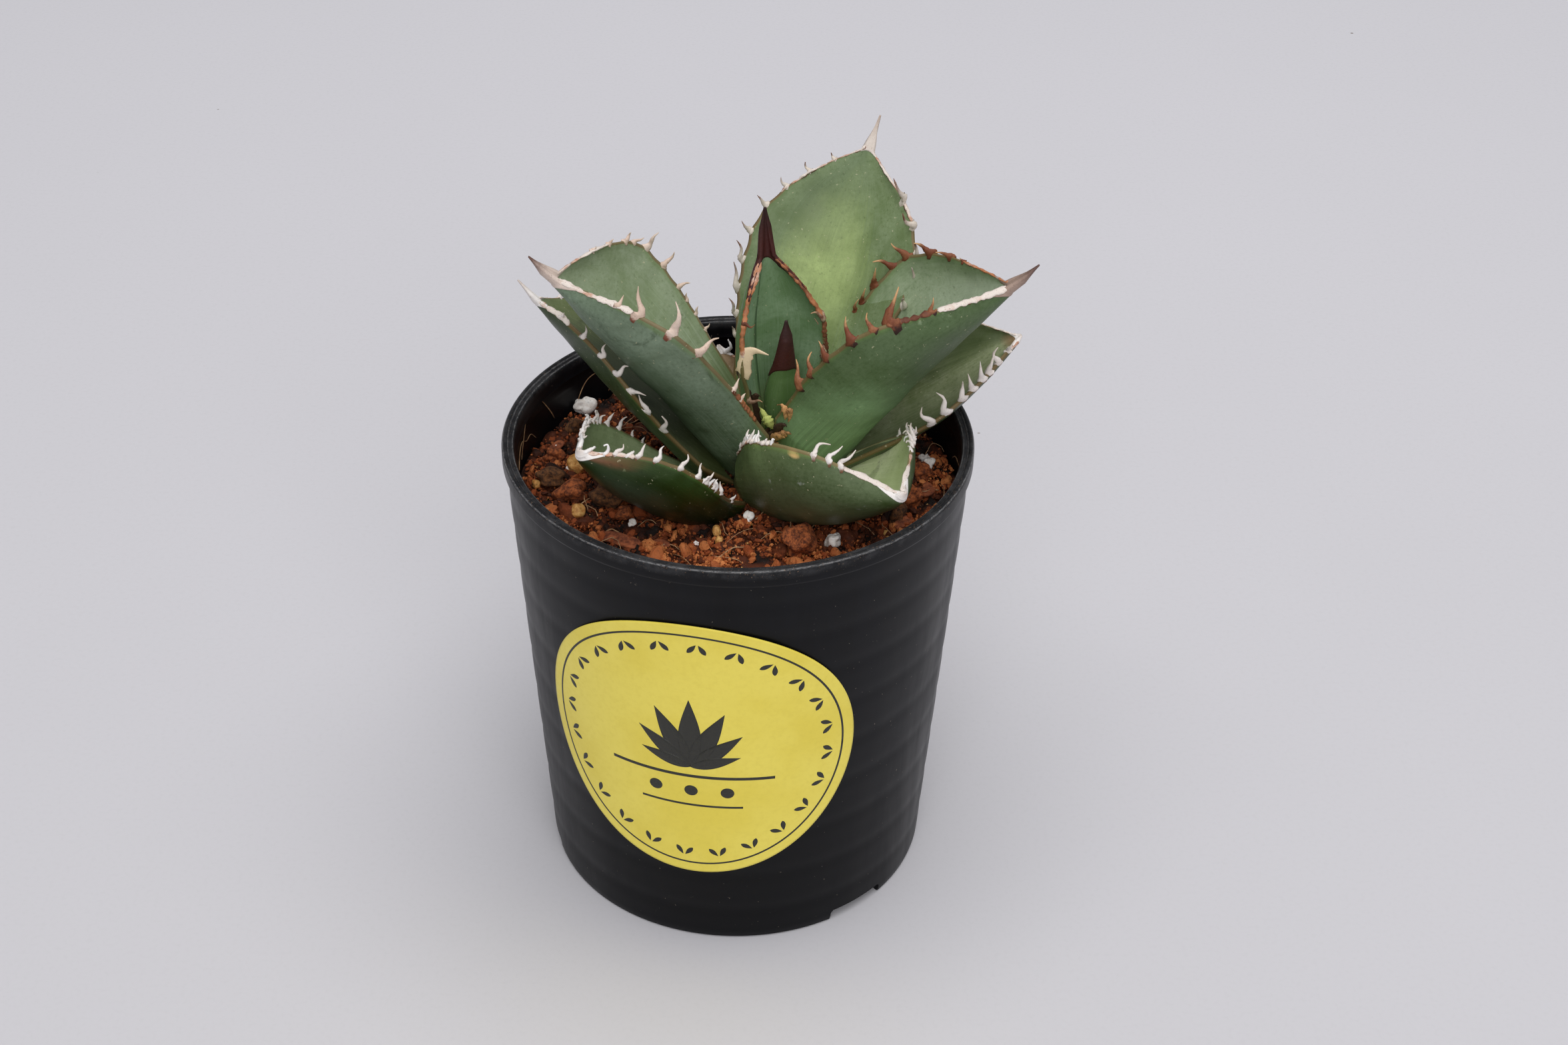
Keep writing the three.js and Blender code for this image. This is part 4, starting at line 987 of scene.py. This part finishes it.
def print_ring(pile, radius, width, middle=(0, 0), count=160):
    """A ring of ink, in two halves that meet."""
    for first in (0, math.pi):
        turns = np.linspace(first, first + math.pi, count // 2)
        rays = np.stack([np.cos(turns), np.sin(turns)], -1)
        print_ribbon(pile, rays * radius + middle, rays * (radius - width) + middle)


def print_leaf(pile, start, angle, length, width):
    """A leaf-shaped mark from a start point."""
    s = np.linspace(0.002, 0.998, 22)
    a = math.radians(angle)
    ray, cross = np.array([math.cos(a), math.sin(a)]), np.array([-math.sin(a), math.cos(a)])
    spine = np.array(start) + np.outer(s * length, ray)
    bulge = np.outer(width / 2 * np.sin(np.pi * s ** 0.75), cross)
    print_ribbon(pile, spine + bulge, spine - bulge)


def print_bar(pile, x0, x1, y, width):
    xs = np.linspace(x0, x1, 30)
    print_ribbon(pile, *[np.stack([xs, 0 * xs + y + side], -1) for side in (width / 2, -width / 2)])


def add_label():
    segments, rounds = 160, 40
    edge = LABEL["radius"]
    radii = edge * np.sqrt(np.linspace(0.0004, 1, rounds))
    sheets = [(r, 1.0) for r in radii] + [(edge + 0.02, 0.5)] + [(r, 0.0) for r in radii[::-1]]
    cos, sin = circle(segments)
    points = [on_wall(r * cos, r * sin, LABEL["lift"] + LABEL["thick"] * height) for r, height in sheets]
    made = add_mesh("label_sheet", np.concatenate(points), ring_faces(len(sheets), segments))
    place(made, label_material(), "label", "label")
    pile = Pile()
    print_ring(pile, edge - 2.2, 0.4)
    border, lean = 48, 38
    for i in range(border):
        a = 360 / border * i
        spot = (edge - 6.4) * np.array([math.cos(math.radians(a)), math.sin(math.radians(a))])
        print_leaf(pile, spot, a + (lean if i % 2 else -lean), 2.6, 1.0)
    for angle, length in ((90, 17), (65, 15.5), (115, 15.5), (41, 13), (139, 13), (18, 10), (162, 10)):
        print_leaf(pile, (0, -3.4), angle, length, 0.26 * length)
    print_bar(pile, -16, 16, -5.8, 0.7)
    for x in (-7, 0, 7):
        print_ring(pile, 1.3, 1.29, (x, -9.6), 40)
    print_bar(pile, -10, 10, -13.4, 0.5)
    place(pile.build("label_print"), ink_material(), "label")


# ---- Soil ----
def soil_height(x, y):
    lumps = np.sin(0.31 * x + 1.1) * np.cos(0.27 * y - 0.6) + 0.6 * np.sin(0.53 * x - 0.47 * y + 2)
    lumps = lumps + 0.4 * np.cos(0.83 * y + 0.39 * x)
    away = np.clip(np.hypot(x - CROWN["x"], y - CROWN["y"]) / 40, 0, 1)
    return SOIL["level"] + SOIL["mound"] * (1 - away) - 0.8 + 0.6 * SOIL["lump"] * lumps


def on_soil(spots, lift):
    """Points over the soil at places given as rows of x and y."""
    return np.stack([spots[:, 0], spots[:, 1], soil_height(spots[:, 0], spots[:, 1]) + lift], -1)


def soil_material():
    make = Shader("soil_mix", Specular_IOR_Level=0.3)
    grain = make.noise(1300.0, 6.0, 0.72)
    coarse = make.noise(240.0, 5.0, 0.65)
    mixed = make.plus(make.attribute("grain_tone"), make.sway(coarse, 0.6))
    make.start((24, 12, 7), (88, 42, 22), mixed, 0.02, 0.3)
    make.dab((160, 80, 40), mixed, 0.28, 0.62)
    make.dab((212, 132, 76), mixed, 0.6, 1.0)
    make.dab((38, 18, 10), grain, 0.46, 0.28, 0.75)
    make.dab((232, 172, 116), grain, 0.62, 0.74, 0.7)
    make.bump(coarse, 0.6, 0.5)
    make.bump(grain, 0.9, 0.3)
    return make.finish(make.span(grain, 0.3, 0.7, 0.5, 0.95))


def stone_material(name, light, dark, rough, grain_size=1300.0):
    make = Shader(name)
    grain = make.noise(grain_size, 5.0, 0.7)
    pits = make.cells(grain_size * 1.3)
    make.start(dark, light, grain, 0.35, 0.65)
    make.dab(shade(dark, 0.6), pits, 0.28, 0.05, 0.5)
    make.bump(grain, 0.8, 0.25)
    make.bump(pits, 0.5, 0.15)
    return make.finish(rough)


def ball(level):
    """Points and faces of an even ball."""
    work = bmesh.new()
    bmesh.ops.create_icosphere(work, subdivisions=level, radius=1.0)
    points = np.array([v.co for v in work.verts])
    faces = np.array([[v.index for v in f.verts] for f in work.faces])
    work.free()
    return points, faces


def random_turns(draw, count):
    """Rotation matrices, evenly spread."""
    w, x, y, z = unit(draw.normal(size=(count, 4))).T
    rows = [1 - 2 * (y * y + z * z), 2 * (x * y - z * w), 2 * (x * z + y * w),
            2 * (x * y + z * w), 1 - 2 * (x * x + z * z), 2 * (y * z - x * w),
            2 * (x * z - y * w), 2 * (y * z + x * w), 1 - 2 * (x * x + y * y)]
    return np.stack(rows, -1).reshape(count, 3, 3)


def grains(name, centres, sizes, material, seed, level, flat, rough, tones=None, smoothed=False):
    """Many uneven lumps in one mesh."""
    draw = np.random.default_rng(seed)
    points, faces = ball(level)
    kinds, count = 14, len(centres)
    shapes = []
    for kind in range(kinds):
        bumps = waves(points, 1.3, seed + kind) + 0.5 * waves(points, 0.6, seed + 50 + kind)
        shapes.append(points * (1 + rough * bumps)[:, None])
    picked = np.array(shapes)[draw.integers(kinds, size=count)]
    stretch = np.stack([draw.uniform(0.8, 1.2, count), draw.uniform(0.6, 1, count),
                        draw.uniform(0.8, 1, count) * flat], -1)
    picked = picked * (stretch * sizes[:, None] / 2)[:, None, :]
    turned_points = np.einsum("nij,nvj->nvi", random_turns(draw, count), picked)
    all_points = (turned_points + centres[:, None, :]).reshape(-1, 3)
    all_faces = (faces[None] + (np.arange(count) * len(points))[:, None, None]).reshape(-1, 3)
    if tones is None:
        tones = draw.uniform(size=count)
    values = {"grain_tone": np.repeat(tones, len(points))}
    place(add_mesh(name, all_points, all_faces.tolist(), values, smoothed, mend=False), material, "soil")


def scatter(draw, count, largest):
    """Places on the soil, inside the wall and outside the crown."""
    spots = []
    while len(spots) < count:
        r = (SOIL["radius"] - largest) * math.sqrt(draw.uniform())
        a = draw.uniform(0, 2 * math.pi)
        x, y = r * math.cos(a), r * math.sin(a)
        if math.hypot(x - CROWN["x"], y - CROWN["y"]) > CROWN["clear"]:
            spots.append((x, y))
    return np.array(spots)


def add_bark():
    """Flat red-brown flakes of bark that lie on the soil."""
    tints = (96, 46, 26), (176, 98, 60)
    grain = (600.0, 6.0, 0.75)
    material = simple_material("bark_flake", *tints, grain, 0.35, 0.65, 0.85, (1.0, 0.35))
    pile = Pile()
    points, faces = ball(4)
    flakes = [(-22.2, -19.6, (9.0, 3.0, 1.4), -32, 3), (-36.0, 12.0, (4.6, 2.2, 0.9), 60, 5),
              (31.0, -14.5, (4.4, 2.4, 0.9), 40, 7), (-4.0, 37.0, (6.0, 3.0, 1.1), 10, 9),
              (36.5, -3.0, (4.0, 2.6, 1.0), 80, 12), (-14.5, -20.5, (4.0, 1.8, 0.9), -10, 15)]
    for x, y, size, turn, seed in flakes:
        shape = np.sign(points) * np.abs(points) ** 0.75
        shape = shape * (1 + 0.16 * waves(points, 0.8, seed))[:, None] * np.array(size) / 2
        cos, sin = math.cos(math.radians(turn)), math.sin(math.radians(turn))
        tilted = shape @ np.array([[cos, sin, 0.05], [-sin, cos, 0.08], [0, 0, 1]])
        pile.add(tilted + (x, y, soil_height(x, y) + 0.9), faces.tolist())
    place(pile.build("soil_bark", mend=False), material, "soil")


def add_roots(draw):
    """Hair roots that loop over the soil and up the wall."""
    tints = (132, 94, 62), (196, 158, 118)
    material = simple_material("root_hair", *tints, (800.0,), 0.3, 0.7, 0.8, (0.4, 0.05))
    pile = Pile()
    roots, steps, sides = 70, 16, 5
    limit = SOIL["radius"] - 0.4
    for _ in range(roots):
        spot = scatter(draw, 1, 2.0)[0]
        heading = draw.uniform(0, 2 * math.pi)
        pace = draw.uniform(4, 11) / steps
        rise = draw.uniform(0.3, 1.4)
        path = []
        for s in np.linspace(0, 1, steps):
            heading += draw.normal(0, 0.25)
            spot = spot + pace * np.array([math.cos(heading), math.sin(heading)])
            far = math.hypot(*spot)
            x, y = spot * min(1, limit / far)
            lift = 0.6 + rise * math.sin(math.pi * s) + 0.3 * max(0, far - limit)
            path.append((x, y, soil_height(x, y) + lift))
        pile.add(*tube(path, draw.uniform(0.07, 0.14) * (1 - 0.5 * np.linspace(0, 1, steps) ** 2), sides))
    climbs = ((140, 118, 90), (176, 160, 88), (10, -12, 87.5), (-24, -36, 87), (150, 172, 92))
    for first, last, top in climbs:
        s = np.linspace(0, 1, 40)
        a = np.radians(mix(first, last, s))
        wander = 0.5 * waves(np.outer(s, (20, 0, 0)), 4.0, first + 400)
        z = mix(SOIL["level"] + 1, top, np.sin(np.pi * s ** 0.8)) + wander
        r = pot_outer(z) - POT["wall"] - 0.25
        pile.add(*tube(np.stack([r * np.cos(a), r * np.sin(a), z], -1), 0.12 - 0.05 * s, sides))
    place(pile.build("soil_roots"), material, "soil")


def add_soil():
    rings, spokes = 90, 260
    cos, sin = circle(spokes)
    points = []
    for r in SOIL["radius"] * np.sqrt(np.linspace(0.0002, 1, rings)):
        flat = np.stack([r * cos, r * sin, 0 * cos], -1)
        rough = 0.5 * waves(flat, 4.0, 21) + 0.35 * waves(flat, 1.8, 22) + 0.2 * waves(flat, 0.9, 23)
        points.append(on_soil(flat, rough - 0.3))
    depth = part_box("soil")[0].z / MM
    upright = 80
    for r, z in ((SOIL["radius"], upright), (pot_outer(depth) - POT["wall"] - 0.4, depth)):
        points.append(np.stack([r * cos, r * sin, 0 * cos + z], -1))
    points = np.concatenate(points)
    tones = np.clip(0.2 + 0.14 * waves(points, 2.5, 31), 0, 1)
    made = add_mesh("soil_body", points, ring_faces(rings + 2, spokes), {"grain_tone": tones})
    material = soil_material()
    place(made, material, "soil", "soil")
    draw = np.random.default_rng(77)
    for name, count, low, high, level, stand in SOIL_GRAINS:
        spots = scatter(draw, count, high * 0.5)
        sizes = mix(low, high, draw.uniform(size=count) ** 1.8)
        heap = waves(np.insert(spots, 2, 0, axis=1), 4.5, 61)
        centres = on_soil(spots, draw.normal(0, 0.3, count) + sizes * stand + 0.45 * heap)
        bright = smooth(-spots[:, 1], 12.0, 24.0) * smooth(np.abs(spots[:, 0]), 24.0, 12.0)
        tones = np.clip(0.14 + 0.2 * bright + 0.2 * heap + 0.66 * draw.uniform(size=count) ** 1.2, 0, 1)
        grains(name, centres, sizes, material, 900 + count, level, 0.75, 0.38, tones)
    for name, skin, light, dark, shine, fine, seed, flat, uneven, spots in SOIL_STONES:
        spots = np.array(spots, float)
        material = stone_material(skin, light, dark, shine, fine)
        centres = on_soil(spots, 0.4 + 0.3 * spots[:, 2])
        grains(name, centres, spots[:, 2], material, seed, 4, flat, uneven, smoothed=name == "soil_stones")
    tints = (150, 104, 50), (226, 178, 104)
    gold = simple_material("mica", *tints, (900.0,), 0.3, 0.7, 0.3, (0.5, 0.1), Metallic=0.4)
    flakes = 300
    centres = on_soil(scatter(draw, flakes, 0.5), 0.55 + draw.normal(0, 0.2, flakes))
    grains("soil_mica", centres, draw.uniform(0.3, 0.65, flakes), gold, 504, 1, 0.35, 0.25)
    add_bark()
    add_roots(draw)


# ---- Crown and dried bits ----
def add_crown():
    top, bottom, radius = CROWN["top"], CROWN["bottom"], CROWN["radius"]
    s = np.linspace(0, 1, 30)
    outline = [(0, bottom), (radius * 0.3, bottom + 0.1), (radius * 0.5, bottom + 2)]
    outline += [(radius * (0.5 + 0.25 * v), mix(bottom + 4, SOIL["level"], v)) for v in s[::4]]
    outline += [(radius * (0.8 - 0.55 * v ** 1.6), mix(SOIL["level"] + 0.5, top - 0.8, v)) for v in s]
    made = turned("crown_stem", outline + [(0, top - 0.6)], 90, 0.3)
    made.data.transform(Matrix.Translation((CROWN["x"] * MM, CROWN["y"] * MM, 0)))
    tints = (96, 74, 44), (168, 170, 96)
    scars = (260.0, 5.0, 0.65)
    material = simple_material("crown_skin", *tints, scars, 0.35, 0.65, 0.7, (0.6, 0.5), IOR=1.4)
    place(made, material, "crown", "crown")


def litter_material():
    """Dried bits; bit_tone is 0 on brown ones, 0.5 on tan ones and 1 on yellow-green ones."""
    make = Shader("litter")
    tone = make.attribute("bit_tone")
    grain = make.noise(1100.0, 5.0, 0.7)
    make.start((58, 34, 18), (214, 158, 104), tone, 0.1, 0.5)
    make.dab((198, 206, 116), tone, 0.6, 0.9)
    make.dab((66, 42, 20), grain, 0.55, 0.35, 0.7)
    make.bump(grain, 0.8, 0.15)
    return make.finish(0.7)


def add_litter():
    """Bracts and husks that stand on the crown."""
    draw = np.random.default_rng(88)
    pile = Pile()
    stations, sides = 18, 10
    s = np.linspace(0, 1, stations)
    swell = 0.35 + 0.9 * np.sin(np.pi * s ** 0.8)
    for *corners, radius, tint in LITTER:
        path = curve(np.array(corners, float), s[:, None])
        radii = radius * swell * (1 + 0.2 * draw.normal(size=stations)) * (1 - 0.9 * s ** 3)
        points, faces = tube(path, np.maximum(radii, 0.06), sides)
        centres = np.repeat(path, sides, axis=0)
        points = centres + (points - centres) * (1.0, 0.45, 1.0) + 0.04 * draw.normal(size=points.shape)
        pile.add(points, faces, bit_tone=tint + 0.05 * draw.normal(size=len(points)))
    place(pile.build("crown_litter"), litter_material(), "crown")


# ---- Stage, light and camera ----
def add_floor():
    half = 1800.0
    corners = [(-half, -half, 0), (half, -half, 0), (half, half, 0), (-half, half, 0)]
    floor = add_mesh("floor", corners, [[0, 1, 2, 3]])
    make = Shader("pale_board", IOR=1.45)
    grain = make.noise(900.0, 4.0)
    # The board is lighter towards the back and darker towards the front: painted light and shade.
    depth = make.plus(make.split()[1], make.sway(make.noise(9.0, 3.0), 0.1))
    make.start((205, 203, 207), (224, 222, 227), depth, -0.25, 0.6)
    make.dab((190, 188, 190), grain, 0.45, 0.75, 0.12)
    dots = make.span(make.cells(42.0), 0.028, 0.018)
    make.coat((120, 104, 92), make.times(dots, make.span(make.noise(31.0), 0.56, 0.6, 0.0, 0.8)))
    make.bump(grain, 0.08, 0.05)
    floor.data.materials.append(make.finish(0.8))


def add_light(name, place_m, aim_m, size_m, power):
    data = bpy.data.lights.new(name, "AREA")
    data.shape = "RECTANGLE"
    data.size, data.size_y = size_m
    data.energy = power
    made = bpy.data.objects.new(name, data)
    made.location = place_m
    made.rotation_euler = (Vector(aim_m) - Vector(place_m)).to_track_quat("-Z", "Y").to_euler()
    bpy.context.scene.collection.objects.link(made)


def add_lights():
    world = bpy.data.worlds.new("studio")
    bpy.context.scene.world = world
    world.use_nodes = True
    back = world.node_tree.nodes["Background"]
    back.inputs["Color"].default_value = (0.95, 0.965, 1.0, 1.0)
    back.inputs["Strength"].default_value = 0.3
    aim = (0, 0, 0.08)
    add_light("key_top", (0.1, -0.1, 1.5), aim, (1.5, 1.3), 14.5)
    add_light("key_front", (0.12, -1.2, 1.0), aim, (1.2, 0.9), 9.0)


CAMERA = {
    "focal_px": 3660.0, "distance": 492.239, "tilt": 0.655413, "yaw": -0.0188687,
    "pitch": 0.0448448, "roll": -0.0043531, "aim_height": 47.64, "image_width": 2353,
}


def add_camera():
    tilt = CAMERA["tilt"]
    back = Vector((0, -math.cos(tilt), math.sin(tilt)))
    place_mm = Vector((0, 0, CAMERA["aim_height"])) + back * CAMERA["distance"]
    forward, right = -back, Vector((1, 0, 0))
    up = right.cross(forward)
    yaw = Matrix.Rotation(CAMERA["yaw"], 3, up)
    forward, right = yaw @ forward, yaw @ right
    pitch = Matrix.Rotation(CAMERA["pitch"], 3, right)
    forward, up = pitch @ forward, pitch @ up
    roll = Matrix.Rotation(CAMERA["roll"], 3, forward)
    right, up = roll @ right, roll @ up
    data = bpy.data.cameras.new("photo_camera")
    data.sensor_width = 36.0
    data.sensor_fit = "HORIZONTAL"
    data.lens = CAMERA["focal_px"] / CAMERA["image_width"] * data.sensor_width
    data.clip_start, data.clip_end = 0.02, 20.0
    made = bpy.data.objects.new("photo_camera", data)
    turn = Matrix((right, up, -forward)).transposed().to_4x4()
    made.matrix_world = Matrix.Translation(place_mm * MM) @ turn
    bpy.context.scene.collection.objects.link(made)
    bpy.context.scene.camera = made


bpy.context.scene.view_settings.view_transform = "Standard"
add_camera()
add_leaves()
add_pot()
add_label()
add_soil()
add_crown()
add_litter()
add_floor()
add_lights()
